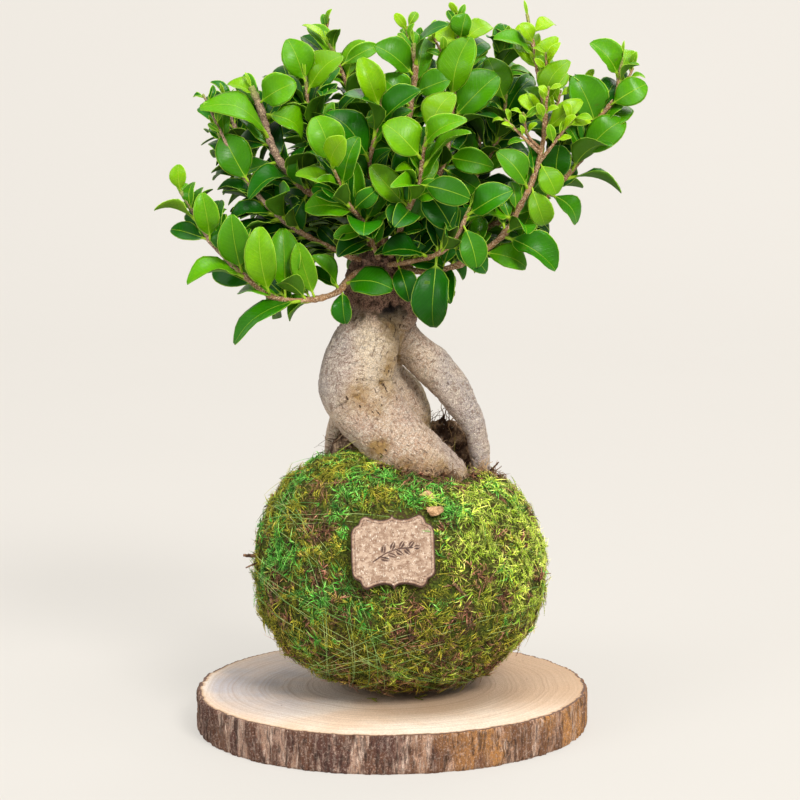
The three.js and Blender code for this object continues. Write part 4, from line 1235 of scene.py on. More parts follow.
def barkMaterial():
    newMaterial("fig bark", 0.72, 0.25)
    place, chart = objectPlace(), attribute("barkChart")
    neck, rusty, crease = parts(attribute("barkTone"))
    x, y, z = parts(place)
    broad = mottle(place, 42, 0.4, 0.62, 3.0)
    second = mottle(vectorCalc("ADD", place, (0.3, 0.1, 0.7)), 60, 0.42, 0.64, 3.0)
    grain = mottle(vectorCalc("ADD", chart, place), 1500, 0.38, 0.64, 6.0)
    flakes = mottle(place, 1100, 0.46, 0.64, 6.0)
    dashes = mottle(stretched(chart, 1.0, 0.3, 0.3), 1150, 0.56, 0.66, 4.0)
    fissures = mottle(stretched(chart, 0.45, 1.0, 1.0), 760, 0.6, 0.67, 4.0)
    pores = specks(stretched(chart, 1.0, 0.6, 0.6), 1100, 0.42, 0.34)
    grit = mottle(place, 3000, 0.42, 0.62, 2.0)
    sparks = mottle(vectorCalc("ADD", place, (0.7, 0.2, 0.4)), 2600, 0.5, 0.66, 2.0)
    cloudy = mottle(vectorCalc("ADD", place, (0.9, 0.5, 0.1)), 170, 0.42, 0.6, 4.0)
    scuffs = mottle(vectorCalc("ADD", stretched(chart, 1.0, 0.55, 0.55), place), 330, 0.52, 0.62, 5.0)
    colour = mixColour(broad, barkColours["pale"], barkColours["pink"])
    colour = mixColour(cloudy * 0.4, colour, barkColours["rose"])
    behind = ranged(y, 0.006, 0.014) * ranged(x, -0.006, 0.002)
    colour = mixColour(behind * 0.75, colour, barkColours["yellow"])
    low = ranged(z + broad * 0.012, 0.176, 0.158) * ranged(y, 0.004, -0.004)
    colour = mixColour(low * (0.3 + second * 0.6), colour, barkColours["rose"])
    # Greyer bark on the right roots and on the left lobe: partly the bark's own grey, partly painted shade
    greyAndShade = calc("MAXIMUM", ranged(x, 0.016, 0.03) * ranged(y, 0.012, 0.0),
        ranged(x, -0.012, -0.028) * ranged(z, 0.158, 0.172))
    greyAndShade = greyAndShade * (0.5 + second * 0.45)
    colour = mixColour(greyAndShade, colour, barkColours["grey"])
    # Painted shade over the left lobe, the side away from the light
    shade = ranged(x, -0.012, -0.026) * ranged(z, 0.158, 0.172)
    colour = mixColour(shade * 0.45, colour, barkColours["shade"])
    # Painted highlight: the middle of the trunk above about 180 mm is lightened with the lit colour
    litPatch = ranged(x, -0.022, -0.01) * ranged(x, 0.008, 0.0) * ranged(z, 0.168, 0.18)
    colour = layered(colour, (litPatch * 0.85, barkColours["lit"]), (scuffs * 0.5, barkColours["cream"]),
        (flakes * 0.6, barkColours["cream"]), (grain * 0.5, barkColours["brown"]),
        (sparks * 0.5, barkColours["cream"]), (rusty * (0.45 + second * 0.45), barkColours["ochre"]),
        (dashes * 0.5, barkColours["brown"]))
    cracked = calc("MULTIPLY", fissures, 0.35 + rusty, clamp=True)
    # Hollows turn ochre, and the deeper ones dark as painted shade
    colour = layered(colour, (cracked, barkColours["dark"]), (pores * 0.42, barkColours["brown"]),
        (grit * 0.3, barkColours["brown"]), (ranged(crease, 0.35, 1.4) * 0.6, barkColours["ochre"]),
        (ranged(crease, 1.0, 2.6) * 0.9, barkColours["dark"]))
    rough = mixColour(grain, barkColours["neck"], barkColours["dark"])
    # In the rough neck the hollows, and the scars and rusty spots, turn nearly black as painted shade
    rough = layered(rough, (flakes * 0.45, barkColours["rose"]), (fissures * 0.9, barkColours["dark"]),
        (ranged(crease, 0.2, 1.6), barkColours["dark"]), (ranged(rusty, 0.3, 0.8), (0.012, 0.007, 0.005)))
    colour = mixColour(neck, colour, rough)
    height = grain * -0.5 - pores
    for mask, depth in ((dashes, -0.8), (fissures, -0.8), (grit, -0.4), (flakes, 0.4)):
        height = height + mask * depth
    return painted(colour, height, 0.4 * mm)


barkFinish = barkMaterial()
figRoots = smoothShaded(trunkPiece(), barkFinish)
settle(figRoots, "bark", "fig_trunk")
print("roots shaped:", len(figRoots.data.polygons), "faces")


# The moss ball: a soft dark cushion, and sprigs of several kinds standing all over it
ball = {"centre": np.array([4.5, 0, 75]), "halfWidth": 73, "halfHeight": 56.6, "fullness": 2.6}
mossHeaps = [((-0.42, -0.24, 0.87), 12, 0.38), ((0.12, -0.46, 0.88), 4, 0.36), ((0.62, -0.1, 0.78), 3, 0.3)]
plaquePlace = {"width": 40, "height": 36, "thickness": 3, "x": 1.2, "z": 101, "lean": 21, "turn": -2, "sunk": 1.6}


def mossRelief(direction):
    x, y, z = direction
    banks = sum(height * math.exp(-((direction - np.array(toward)) ** 2).sum() / spread ** 2)
                for toward, height, spread in mossHeaps)
    return (banks + 1.1 * math.sin(5.1 * x + 2.3 * z + 1) * math.sin(4.7 * y - 3.1 * z)
            + 0.7 * math.sin(9.3 * x - 7.1 * y + 2) * math.cos(8.2 * z + 3.3 * y))


def onBall(direction, height):
    x, y, z = direction
    power = ball["fullness"] if z > 0 else 2
    stretch = (math.hypot(x, y) ** power + abs(z) ** power) ** (-1 / power)
    wide = stretch * (ball["halfWidth"] + height)
    return ball["centre"] + np.array([x * wide, y * wide, z * stretch * (ball["halfHeight"] + height)])


def atPlaque(points):
    # From the plaque's own drawing, facing -Y at the origin, to its place on the ball
    form = plaquePlace
    rise = (form["z"] - ball["centre"][2]) / ball["halfHeight"]
    y = form["sunk"] - (1 - rise ** ball["fullness"]) ** (1 / ball["fullness"]) * ball["halfWidth"]
    lean, turn = math.radians(-form["lean"]), math.radians(form["turn"])
    tilt = np.array([[1, 0, 0], [0, math.cos(lean), -math.sin(lean)], [0, math.sin(lean), math.cos(lean)]])
    twist = np.array([[math.cos(turn), 0, math.sin(turn)], [0, 1, 0], [-math.sin(turn), 0, math.cos(turn)]])
    return np.asarray(points, float) @ (twist @ tilt).T + np.array([form["x"], y, form["z"]])


moss = {
    "voxel": 1.9 * mm, "smoothing": 3, "clumps": 2.0, "bumps": 0.8, "shapes": 6,
    "plaqueReach": (19.5, 16),  # half width and height of what the sprigs keep clear of
    # shape of the sprigs, how many a square centimetre, size, least and most tilt, how deep they
    # root, how far they keep from the plaque and their fixed seed
    "layers": {
        "moss_tufts": ("tuft", 18.5, 1.0, 30, 80, 1.0, 1.2, 3),
        "moss_strands": ("strand", 12.0, 1.0, 66, 88, 0.2, 2.5, 11),
        "moss_fronds": ("frond", 7.2, 0.9, 62, 87, -0.1, 3.0, 23),
        "moss_threads": ("thread", 5.5, 0.9, 82, 93, -0.9, 8.0, 31),
        "moss_curls": ("curl", 8.5, 1.1, 40, 88, 0.0, 1.5, 47),
    },
    # patches of brown, emerald and lime moss: place on the ball and reach
    "brown": [((-34, -46, 113), 8), ((-57, -38, 80), 5), ((-58, -36, 71), 6), ((-54, -43, 64), 5),
              ((-36, -60, 88), 5), ((-24, -67, 72), 5), ((6, -70, 60), 4.5), ((22, -66, 54), 4.5),
              ((27, -59, 46), 4), ((11, -73, 77), 4.5), ((36, -65, 68), 6), ((55, -53, 74), 5),
              ((44, -61, 88), 5), ((53, -46, 106), 3), ((72, -28, 80), 3.5), ((68, -9, 110), 4),
              ((23, -39, 125), 3), ((26, -59, 111), 3.5), ((-19, 6, 131), 4), ((-28, -2, 131), 4),
              ((31, -68, 84), 3), ((50, 2, 127), 7), ((-2, -28, 131), 4.5), ((9, -33, 130), 5.5),
              ((21, -32, 129), 5), ((33, -27, 128), 5.5), ((40, -17, 128), 5), ((-20, 60, 100), 9),
              ((48, 44, 95), 7), ((8, 68, 72), 8), ((-58, 26, 80), 7)],
    "emerald": [((-14, -44, 125), 15), ((-30, -20, 134), 14), ((-49, -43, 96), 14), ((-10, -60, 112), 11),
                ((28, -46, 119), 12), ((-15, -70, 80), 10), ((20, -40, 126), 10), ((-38, -58, 76), 9)],
    "lime": [((39, -44, 119), 16), ((57, -25, 112), 14), ((45, -56, 102), 11), ((70, -20, 92), 12),
             ((52, -52, 90), 10), ((63, -40, 70), 10), ((14, -40, 127), 8)],
}


def patchShare(place, spots):
    total = 0.0
    for spot, reach in spots:
        gap = ((place - np.array(spot)) ** 2).sum() / (reach * reach)
        if gap < 6:
            total = max(total, math.exp(-gap))
    return total


def mossZone(place, direction):
    # How lime, how emerald and how brown the moss is at a place; the rest is olive
    wander = place + 3.5 * np.array([noisy(place, 0.16, 2), noisy(place, 0.16, 9), noisy(place, 0.16, 17)])
    behind = 0.5 + 0.5 * clamped(place[1] / 30, -1, 1)
    # Lime grows towards the top and the right and emerald wanes to the right: partly the moss's own colour, partly
    # painted light on the lit side
    lime = patchShare(wander, moss["lime"]) + 0.35 * direction[2] + 0.6 * direction[0] + 1.0 * noisy(place, 0.05, 5)
    emerald = patchShare(wander, moss["emerald"]) + 0.15 * direction[2] - 0.2 * direction[0] - 0.08
    emerald += 1.1 * noisy(place, 0.06, 13)
    lime += 0.12 * behind
    brown = 2.1 * patchShare(wander, moss["brown"]) + 2.0 * max(noisy(place, 0.14, 33) - 0.2, 0)
    # Browner towards the underside: partly the moss's own colour, partly painted shade
    brown += 0.6 * max(-direction[2] - 0.15, 0) + 0.1
    return [clamped(value) for value in (lime, emerald, brown)]


def mossCushion():
    piece = remeshed(mergedCopy("moss_cover", "cover"), "moss_cushion", moss["voxel"], moss["smoothing"])
    places, normals = cornersOf(piece.data) / mm, normalsOf(piece.data)
    board = atPlaque([(0, -2, 0)])[0]
    moved, zones, dense = [], [], {name: [] for name in moss["layers"]}
    for place, normal in zip(places, normals):
        clump = noisy(place, 0.13, 5)
        lift = moss["clumps"] * clump + moss["bumps"] * noisy(place, 0.42, 6) - 0.6
        place = place + normal * lift * clamped((place[2] - 21) / 6)
        moved.append(place)
        direction = unit(place - ball["centre"])
        zone = mossZone(place, direction)
        zones.append(zone)
        # Sprigs stand on the outer skin, clear of the slice and of the plaque
        outside = 1.0 if normal @ direction > 0.1 else 0.0
        outside *= clamped((place[2] - 22) / 5)
        wide, tall = moss["plaqueReach"]
        beside = max(abs(place[0] - board[0]) - wide, abs(place[2] - board[2]) - tall) if place[1] < 0 else 99
        full = 0.85 + 0.8 * clump
        brown = min(zone[2] * 1.2, 1)
        shares = (full * (1 - 0.6 * brown), full * (1 - 0.75 * brown), 0.8 - 0.7 * brown + 0.6 * noisy(place, 0.1, 7),
                  0.6 + 1.5 * noisy(place, 0.07, 27), 0.06 + 1.4 * brown)
        for name, share in zip(moss["layers"], shares):
            clear = moss["layers"][name][6]
            dense[name].append(clamped(share, 0, 1.5) * outside * (beside > clear))
    moveCorners(piece.data, np.array(moved) * mm)
    addAttribute(piece.data, "mossZone", zones)
    for name, values in dense.items():
        addAttribute(piece.data, name, values)
    return piece


def mossBlade(sprig, foot, toward, bend, length, radius, rows=2):
    # A thin three-sided blade, closed at its foot and pointed at its tip
    corners, faces, heights = sprig
    toward = unit(np.asarray(toward, float))
    side = unit(np.cross(toward, np.array([0.31, 0.77, 0.55])))
    other = np.cross(toward, side)
    start = len(corners)
    for row in range(rows):
        share = row / rows
        centre = foot + toward * length * share + np.asarray(bend) * length * share * share
        wide = 1 - 0.5 * share * share
        for k in range(3):
            angle = k / 3 * 2 * math.pi
            corners.append(centre + (side * math.cos(angle) + other * math.sin(angle)) * radius * wide)
            heights.append(share)
    corners.append(foot + toward * length + np.asarray(bend) * length)
    heights.append(1.0)
    faces.append((start + 2, start + 1, start))
    for row in range(rows - 1):
        faces += belt(start + 3 * row, start + 3 * row + 3, 3)
    faces += fan(start + 3 * rows - 3, start + 3 * rows, 3)


def mossSprig(shape, seed):
    # One sprig in millimetres from the origin; +Z is the way it grows and -Y is down to the ball
    draw, sprig = chanceFrom(seed), ([], [], [])
    foot = np.zeros(3)
    if shape == "frond":
        # A curved stem with short leaves to both sides
        length, bend = 8 + 4 * draw(), np.array([0.5 * (draw() - 0.5), -0.3, 0])
        mossBlade(sprig, foot, up, bend, length, 0.18, 3)
        for k in range(14):
            share = 0.08 + 0.064 * k
            spot = up * length * share + bend * length * share * share
            toward = [(1 if k % 2 else -1) * (0.7 + 0.4 * draw()), 0.7 * (draw() - 0.35), 0.8]
            mossBlade(sprig, spot, toward, [0, 0, 0], 2.8 * (1.15 - share) * (0.7 + 0.5 * draw()), 0.21, 1)
    elif shape == "tuft":
        for k in range(7):
            angle, opening = draw() * 2 * math.pi, math.radians(14 + 50 * draw())
            toward = [math.sin(opening) * math.cos(angle), math.sin(opening) * math.sin(angle), math.cos(opening)]
            start = np.array([0.8 * (draw() - 0.5), 0.3 * (draw() - 0.5), 0.8 * draw()])
            mossBlade(sprig, start, toward, [0, 0, 0], 2.0 + 2.2 * draw(), 0.25, 1)
    elif shape == "strand":
        for k in range(4):
            toward = [1.7 * (draw() - 0.5), 0.5 * (draw() - 0.4), 1]
            start = np.array([1.6 * (draw() - 0.5), 0, 2.2 * draw()])
            mossBlade(sprig, start, toward, [1.1 * (draw() - 0.5), -0.3, 0], 3.4 + 4.2 * draw(), 0.2)
    elif shape == "thread":
        toward = [0.2 * (draw() - 0.5), 0, 1]
        mossBlade(sprig, foot, toward, [0.4 * (draw() - 0.5), -0.22, 0], 10 + 9 * draw(), 0.115, 4)
    else:
        for k in range(3):
            toward = [1.6 * (draw() - 0.5), 0.8 * (draw() - 0.3), 0.8]
            mossBlade(sprig, foot, toward, [1.6 * (draw() - 0.5), -0.5, -0.3], 3.2 + 3 * draw(), 0.3, 3)
    return sprig


def sprigCollection(name, shape, seed):
    collection = bpy.data.collections.new(name)
    for k in range(moss["shapes"]):
        corners, faces, heights = mossSprig(shape, seed + 7 * k)
        mesh = meshFrom(f"{name}_{k}", np.array(corners) * mm, faces)
        addAttribute(mesh, "tip", heights)
        collection.objects.link(bpy.data.objects.new(f"{name}_{k}", mesh))
    return collection


def sprigTree():
    tree, given, result = geometryTree("sprigsOnGround", {
        "Sprigs": ("Collection", None),
        "Per square metre": ("Float", 1.0), "Where": ("String", ""),
        "Size": ("Float", 1.0), "Least tilt": ("Float", 0.0),
        "Most tilt": ("Float", 1.0), "Sunk": ("Float", 0.5 * mm),
        "Seed": ("Int", 0)})
    spread = addNode("GeometryNodeDistributePointsOnFaces",
        {"Mesh": given["Geometry"], "Seed": given["Seed"],
        "Density": given["Per square metre"] * named(given["Where"], "FLOAT")}, distribute_method="RANDOM")
    points = addNode("GeometryNodeSetPosition", {"Geometry": spread["Points"],
        "Offset": vectorCalc("SCALE", spread["Normal"], given["Sunk"] * -1.0)})
    draw = wired("FunctionNodeRandomValue", {"Seed": given["Seed"]}, out=1, data_type="FLOAT")
    points = stored(points[0], "sprigDraw", draw, "FLOAT")
    least = wired("ShaderNodeCombineXYZ", {"X": given["Least tilt"], "Y": -0.5, "Z": -math.pi})
    most = wired("ShaderNodeCombineXYZ", {"X": given["Most tilt"], "Y": 0.5, "Z": math.pi})
    lean = wired("FunctionNodeRandomValue", {"Min": least, "Max": most,
        "Seed": given["Seed"]}, data_type="FLOAT_VECTOR")
    lean = wired("FunctionNodeEulerToRotation", {"Euler": lean})
    stand = wired("FunctionNodeRotateRotation", {"Rotation": spread["Rotation"], "Rotate By": lean},
        rotation_space="LOCAL")
    scale = addNode("FunctionNodeRandomValue", {"Seed": given["Seed"] + 5.0}, data_type="FLOAT")
    feed(scale.node.inputs[2], 0.65)
    feed(scale.node.inputs[3], 1.25)
    scale = scale[1] * given["Size"]
    kinds = wired("GeometryNodeCollectionInfo", {"Collection": given["Sprigs"], "Separate Children": True,
        "Reset Children": True})
    stood = wired("GeometryNodeInstanceOnPoints", {"Points": points, "Instance": kinds, "Pick Instance": True,
        "Rotation": stand, "Scale": scale})
    whole = wired("GeometryNodeRealizeInstances", {"Geometry": stood})
    return finishTree(tree, given, result, whole)


mossColours = {
    # at the foot, the middle and the tip; the pale tips are partly painted highlights
    "olive": ((0.032, 0.042, 0.003), (0.22, 0.25, 0.008), (0.74, 0.68, 0.06)),
    "lime": ((0.06, 0.11, 0.006), (0.46, 0.72, 0.03), (1.0, 1.0, 0.24)),
    "emerald": ((0.010, 0.055, 0.006), (0.06, 0.42, 0.02), (0.46, 1.0, 0.18)),
    "brown": ((0.028, 0.012, 0.006), (0.17, 0.068, 0.026), (0.60, 0.33, 0.16)),
}


def mossMaterial():
    newMaterial("living moss", 0.6, 0.35)
    tip, draw = attribute("tip", "Fac"), attribute("sprigDraw", "Fac")
    zones = parts(attribute("mossZone"))

    def blade(kind):
        foot, middle, end = mossColours[kind]
        lower = mixColour(ranged(tip, 0.0, 0.45), foot, middle)
        return mixColour(ranged(tip, 0.3, 1.0), lower, end)

    # Each sprig takes the kind that its place leans to, more or less by its own draw
    colour = blade("olive")
    for kind, share, start in (("lime", zones[0], 1.0), ("emerald", zones[1], 7.0), ("brown", zones[2], 3.0)):
        lot = calc("FRACT", draw * (13.0 + start))
        taken = ranged(share - lot * 0.75, 0.05, 0.2)
        colour = mixColour(taken, colour, blade(kind))
    lot = calc("FRACT", draw * 31.0)
    darker = mixColour(1.0, colour, (0.32, 0.34, 0.34), mode="MULTIPLY")
    colour = mixColour(ranged(lot, 0.45, 0.1), colour, darker)
    # Some sprigs are lightened and paled: partly random tone, partly painted glints
    lighter = mixColour(1.0, colour, (1.9, 1.65, 2.2), mode="MULTIPLY")
    colour = mixColour(ranged(lot, 0.7, 0.92), colour, lighter)
    return painted(colour)


def cushionMaterial():
    newMaterial("moss ground", 0.95, 0.15)
    place = objectPlace()
    broad, fine = mottle(place, 110), mottle(place, 800, 0.4, 0.6)
    colour = mixColour(broad, (0.040, 0.060, 0.008), (0.060, 0.038, 0.016))
    colour = mixColour(fine * 0.6, colour, (0.13, 0.17, 0.02))
    return painted(colour, fine, 0.8 * mm)


def growSprigs(name, ground, shapes, values):
    # Sprigs or crumbs all over a copy of the ground, as one piece
    grown = growWith(addObject(name + "_ground", ground.data.copy()), sprigsTree, name,
                     {"Sprigs": shapes, "Where": name, **values})
    grown.data.shade_smooth()
    for shape in list(shapes.objects):
        bpy.data.objects.remove(shape)
    return grown


cushion = smoothShaded(mossCushion(), cushionMaterial())
sprigsTree, mossFinish = sprigTree(), mossMaterial()
for name, (shape, density, size, least, most, sunk, _, seed) in moss["layers"].items():
    sprigs = growSprigs(name, cushion, sprigCollection(name + "_shapes", shape, seed), {
        "Per square metre": density * perSquareCentimetre, "Size": size, "Sunk": sunk * mm, "Seed": seed,
        "Least tilt": math.radians(least), "Most tilt": math.radians(most), "Finish": mossFinish})
    keepAttributes(sprigs, "tip", "sprigDraw", "mossZone")
    settle(sprigs, "moss", "moss_cover")
    print(name, len(sprigs.data.polygons), "faces")
keepAttributes(cushion)
settle(cushion, "moss", "moss_cover")


# The slice of log: bark all round, and rings on its sawn faces
log = {
    "radius": 98, "thickness": 19, "columns": 760, "sideRows": 24, "topRings": 26,
    "plates": 0.8, "cracks": 1.1, "roughness": 0.35, "sawn": 0.05,
}


def barkDepth(x, y, z):
    # How far the bark stands out at a place on the slice's side, and how much it is a raised plate
    sway = 2.2 * noisy((x, y, z * 0.5), 0.09, 1)
    x, y = x + sway, y - sway
    plate = noisy((x, y, z * 0.2), 0.15, 4) + 0.25 * noisy((x, y, z * 0.4), 0.5, 5)
    plate = clamped((plate + 0.09) / 0.12)
    crack = max(1 - abs(noisy((x, y, z * 0.16), 0.26, 9)) * 8, 0) * (0.3 + 0.7 * plate)
    fine = noisy((x, y, z * 0.22), 0.85, 2) + 0.5 * noisy((x, y, z * 0.6), 2.1, 6)
    lift = log["plates"] * (plate - 0.5) - log["cracks"] * crack + log["roughness"] * fine
    return lift, plate


def slicePiece():
    count, thick = log["columns"], log["thickness"]
    angles = [k / count * 2 * math.pi for k in range(count)]
    outline = [log["radius"] + 0.9 * math.sin(2 * a + 0.6) + 0.6 * math.sin(3 * a + 2) for a in angles]
    corners, tones, kinds = [(0, 0, 0)], [(99, 0, 0)], []

    def addRing(place, kind):
        # place(k) gives the radius, height and tone at a column
        for k, angle in enumerate(angles):
            radius, z, tone = place(k)
            corners.append((math.cos(angle) * radius, math.sin(angle) * radius, z))
            tones.append(tone)
        kinds.append(kind)

    def sidePlace(z, inset):
        def place(k):
            x, y = math.cos(angles[k]) * outline[k], math.sin(angles[k]) * outline[k]
            lift, plate = barkDepth(x, y, z)
            ragged = 0.25 * noisy((x, y, z), 0.6, 15) if 0 < z < thick and inset else 0
            return outline[k] + lift - inset, clamped(z + ragged, 0, thick), (0, plate, lift)
        return place

    def flatPlace(share, z):
        def place(k):
            edge = outline[k] + barkDepth(math.cos(angles[k]) * outline[k], math.sin(angles[k]) * outline[k], z)[0]
            radius = (edge - 0.7) * share
            x, y = math.cos(angles[k]) * radius, math.sin(angles[k]) * radius
            wave = log["sawn"] * noisy((x, y, 0), 0.12, 3) - 0.25 * max(1 - (edge - radius) / 2.0, 0)
            return radius, z + (wave if z else 0), (edge - radius, 0, 0)
        return place

    for share in (0.5, 0.9, 1.0):
        addRing(flatPlace(share, 0), 0)
    rows = log["sideRows"]
    for row in range(rows + 1):
        share = row / rows
        inset = 0.45 * max(1 - min(share, 1 - share) * rows / 1.6, 0)
        addRing(sidePlace(0.15 + share * (thick - 0.3), inset), 1)
    rings = log["topRings"]
    for ring in range(rings):
        addRing(flatPlace(1 - (ring / rings) ** 1.5, thick), 2 if ring == 0 else 0)
    corners.append((0, 0, thick))
    tones.append((99, 0, 0))
    last = len(corners) - 1
    faces, finishes = [(0, 1 + (k + 1) % count, 1 + k) for k in range(count)], [0] * count
    for ring in range(len(kinds) - 1):
        faces += belt(1 + ring * count, 1 + (ring + 1) * count, count)
        finishes += [1 if 1 in kinds[ring:ring + 2] else 0] * count
    faces += fan(1 + (len(kinds) - 1) * count, last, count)
    finishes += [0] * count
    mesh = meshFrom("log_slice_wood", np.array(corners) * mm, faces)
    addAttribute(mesh, "sliceTone", tones)
    return addObject("log_slice_wood", mesh), finishes


woodColours = {
    "pale": (0.88, 0.67, 0.50), "cream": (0.95, 0.83, 0.70), "tan": (0.53, 0.34, 0.20),
    "grey": (0.50, 0.475, 0.505), "ring": (0.36, 0.22, 0.13), "rim": (0.13, 0.065, 0.045),
}


def sawnMaterial():
    newMaterial("sawn wood", 0.6, 0.3)
    place = objectPlace()
    edge = parts(attribute("sliceTone"))[0]
    x, y, _ = parts(place)
    sway = mottle(place, 14, 0.2, 0.8, 2.0)
    radius = calc("SQRT", x * x + y * y)
    swayed = radius + sway * 0.007
    swayed = wired("ShaderNodeCombineXYZ", {"X": swayed})
    rings = mottle(swayed, 420, 0.42, 0.7, 4.0)
    thin = mottle(swayed, 1500, 0.5, 0.72, 2.0)
    pith = ranged(radius, 0.082, 0.05)
    cloud = mottle(place, 30, 0.35, 0.65, 3.0)
    grain = mottle(place, 1400, 0.38, 0.64, 6.0)
    colour = mixColour(cloud, woodColours["pale"], woodColours["cream"])
    warm = pith * ranged(x, -0.04, 0.02)
    warm = calc("MAXIMUM", warm * 0.8, ranged(x, 0.01, 0.065) * ranged(y, -0.07, -0.02, 0.15, 0.85))
    colour = mixColour(warm, colour, woodColours["tan"])
    cold = ranged(x, 0.0, -0.06) * ranged(radius, 0.098, 0.088)
    cold = cold * ranged(y, -0.09, -0.03)
    cold = cold * (0.5 + cloud * 0.5)
    colour = layered(colour, (cold, woodColours["grey"]), (rings * 0.42, woodColours["ring"]),
        (thin * 0.36, woodColours["ring"]), (grain * 0.28, woodColours["ring"]))
    dots = specks(place, 130, 0.1, 0.05)
    colour = mixColour(dots * 0.8, colour, woodColours["rim"])
    ragged = edge + cloud * -0.7
    colour = layered(colour, (ranged(ragged, 3.2, 1.2), woodColours["tan"]),
        (ranged(ragged, 1.5, 1.0), woodColours["rim"]))
    return painted(colour, grain + rings, 0.12 * mm)


outerBark = {
    "plate": (0.11, 0.050, 0.042), "bare": (0.52, 0.33, 0.245), "streak": (0.86, 0.64, 0.51),
    "crack": (0.022, 0.012, 0.010), "ochre": (0.62, 0.29, 0.09), "lichen": (0.22, 0.18, 0.15),
}


def outerBarkMaterial():
    newMaterial("log bark", 0.85, 0.2)
    place = objectPlace()
    tall = stretched(place, 1.0, 1.0, 0.16)
    plate, lift = parts(attribute("sliceTone"))[1:]
    broad = mottle(stretched(place, 1.0, 1.0, 0.4), 60, 0.4, 0.62, 3.0)
    streaks = mottle(tall, 700, 0.5, 0.64, 5.0)
    fibres = mottle(tall, 1900, 0.45, 0.66, 3.0)
    flakes = mottle(place, 650, 0.55, 0.66, 4.0)
    grit = mottle(place, 2400, 0.4, 0.65, 3.0)
    wide = mottle(stretched(place, 1.0, 1.0, 0.3), 120, 0.46, 0.54, 3.0)
    plate = calc("MAXIMUM", plate, wide * 0.9)
    colour = mixColour(plate, outerBark["bare"], outerBark["plate"])
    warm = ranged(parts(place)[0], 0.0, 0.06, 0.12, 0.95)
    patchy = calc("ADD", 0.3, broad, clamp=True)
    colour = mixColour(patchy * warm, colour, outerBark["ochre"])
    slits = mottle(stretched(place, 1.0, 1.0, 0.22), 420, 0.56, 0.63, 4.0)
    chaff = mottle(vectorCalc("ADD", place, (0.2, 0.6, 0.4)), 900, 0.54, 0.62, 4.0)
    colour = layered(colour, (streaks * ranged(plate, 0.0, 1.0, 0.75, 0.25), outerBark["streak"]),
        (fibres * 0.55, outerBark["plate"]), (flakes * 0.4, outerBark["lichen"]), (chaff * 0.3, outerBark["streak"]),
        (slits * 0.6, outerBark["crack"]), (grit * 0.4, outerBark["crack"]),
        (ranged(lift, -0.5, -1.2), outerBark["crack"]))
    return painted(colour, streaks + grit * 0.5, 0.45 * mm)


logSlice, finishes = slicePiece()
smoothShaded(logSlice, sawnMaterial())
logSlice.data.materials.append(outerBarkMaterial())
logSlice.data.polygons.foreach_set("material_index", finishes)
settle(logSlice, "slice_wood", "log_slice")
print("log slice sawn")


# Soil that shows between the roots, with crumbs, white grains and thin rootlets
soil = {
    "voxel": 2.2 * mm, "smoothing": 1, "lumps": 2.9, "crumbs": 21, "grains": 1.1, "rootlets": 320,
    "crumbShapes": 4,
    "collar": (13, 15, 41, 27),  # centre and half sizes of the opening in the moss
    "heaps": [(-22, 10, 131, 10, 8, 18), (27, 24, 128, 15, 12, 24), (12, -2, 122, 18, 14, 12)],
}


def soilPiece():
    ground = mergedCopy("soil_ball", "soil")
    cloud = bmesh.new()
    cloud.from_mesh(ground.data)
    for x, y, z, wide, deep, tall in soil["heaps"]:
        heap = bmesh.ops.create_icosphere(cloud, subdivisions=3, radius=1.0)
        for corner in heap["verts"]:
            corner.co = Vector((x + corner.co.x * wide, y + corner.co.y * deep, z + corner.co.z * tall)) * mm
    cloud.to_mesh(ground.data)
    cloud.free()
    piece = remeshed(ground, "fig_soil", soil["voxel"], soil["smoothing"])
    places, normals = cornersOf(piece.data) / mm, normalsOf(piece.data)
    x, y, halfWidth, halfDepth = soil["collar"]
    moved, loose = [], []
    for place, normal in zip(places, normals):
        inside = math.hypot((place[0] - x) / halfWidth, (place[1] - y) / halfDepth)
        shown = clamped((1.06 - inside) / 0.08) * (1 if place[2] > 108 and normal[2] > -0.3 else 0)
        lift = soil["lumps"] * (noisy(place, 0.33, 2) + 0.6 * noisy(place, 0.8, 5)) * shown
        moved.append((place + normal * lift) * mm)
        loose.append(shown)
    moveCorners(piece.data, moved)
    addAttribute(piece.data, "loose", loose)
    return piece


def crumbCollection(name, seed):
    collection = bpy.data.collections.new(name)
    for k in range(soil["crumbShapes"]):
        cloud = bmesh.new()
        bmesh.ops.create_icosphere(cloud, subdivisions=2, radius=0.9 * mm)
        for corner in cloud.verts:
            bulge = 1 + 0.45 * noisy(corner.co / mm, 0.8, seed + k * 5)
            corner.co = Vector((corner.co.x * bulge, corner.co.y * bulge * 0.8, corner.co.z * bulge * 0.7))
        mesh = meshOf(cloud, f"{name}_{k}")
        addAttribute(mesh, "tip", [0.5] * len(mesh.vertices))
        collection.objects.link(bpy.data.objects.new(f"{name}_{k}", mesh))
    return collection


def soilMaterial(name, dark, light):
    newMaterial(name, 0.95, 0.2)
    place = objectPlace()
    broad, fine = mottle(place, 160, 0.4, 0.62), mottle(place, 1500, 0.42, 0.66)
    colour = mixColour(broad, dark, light)
    colour = mixColour(fine * 0.5, colour, dark)
    return painted(colour, fine, 0.5 * mm)


def rootlet(draw, foot, length, lift):
    # A thin curly root that rises from the soil and wanders
    line, heading, place = [], unit(np.array([draw() - 0.5, draw() - 0.5, lift])), np.array(foot, float)
    steps, thick = 14, 0.14 + 0.26 * draw() ** 2
    for step in range(steps + 1):
        share = step / steps
        line.append((place * mm, thick * (1.0 - 0.65 * share) * mm))
        heading = unit(heading + 0.55 * np.array([draw() - 0.5, draw() - 0.5, draw() - 0.62]))
        place = place + heading * length / steps
    return line


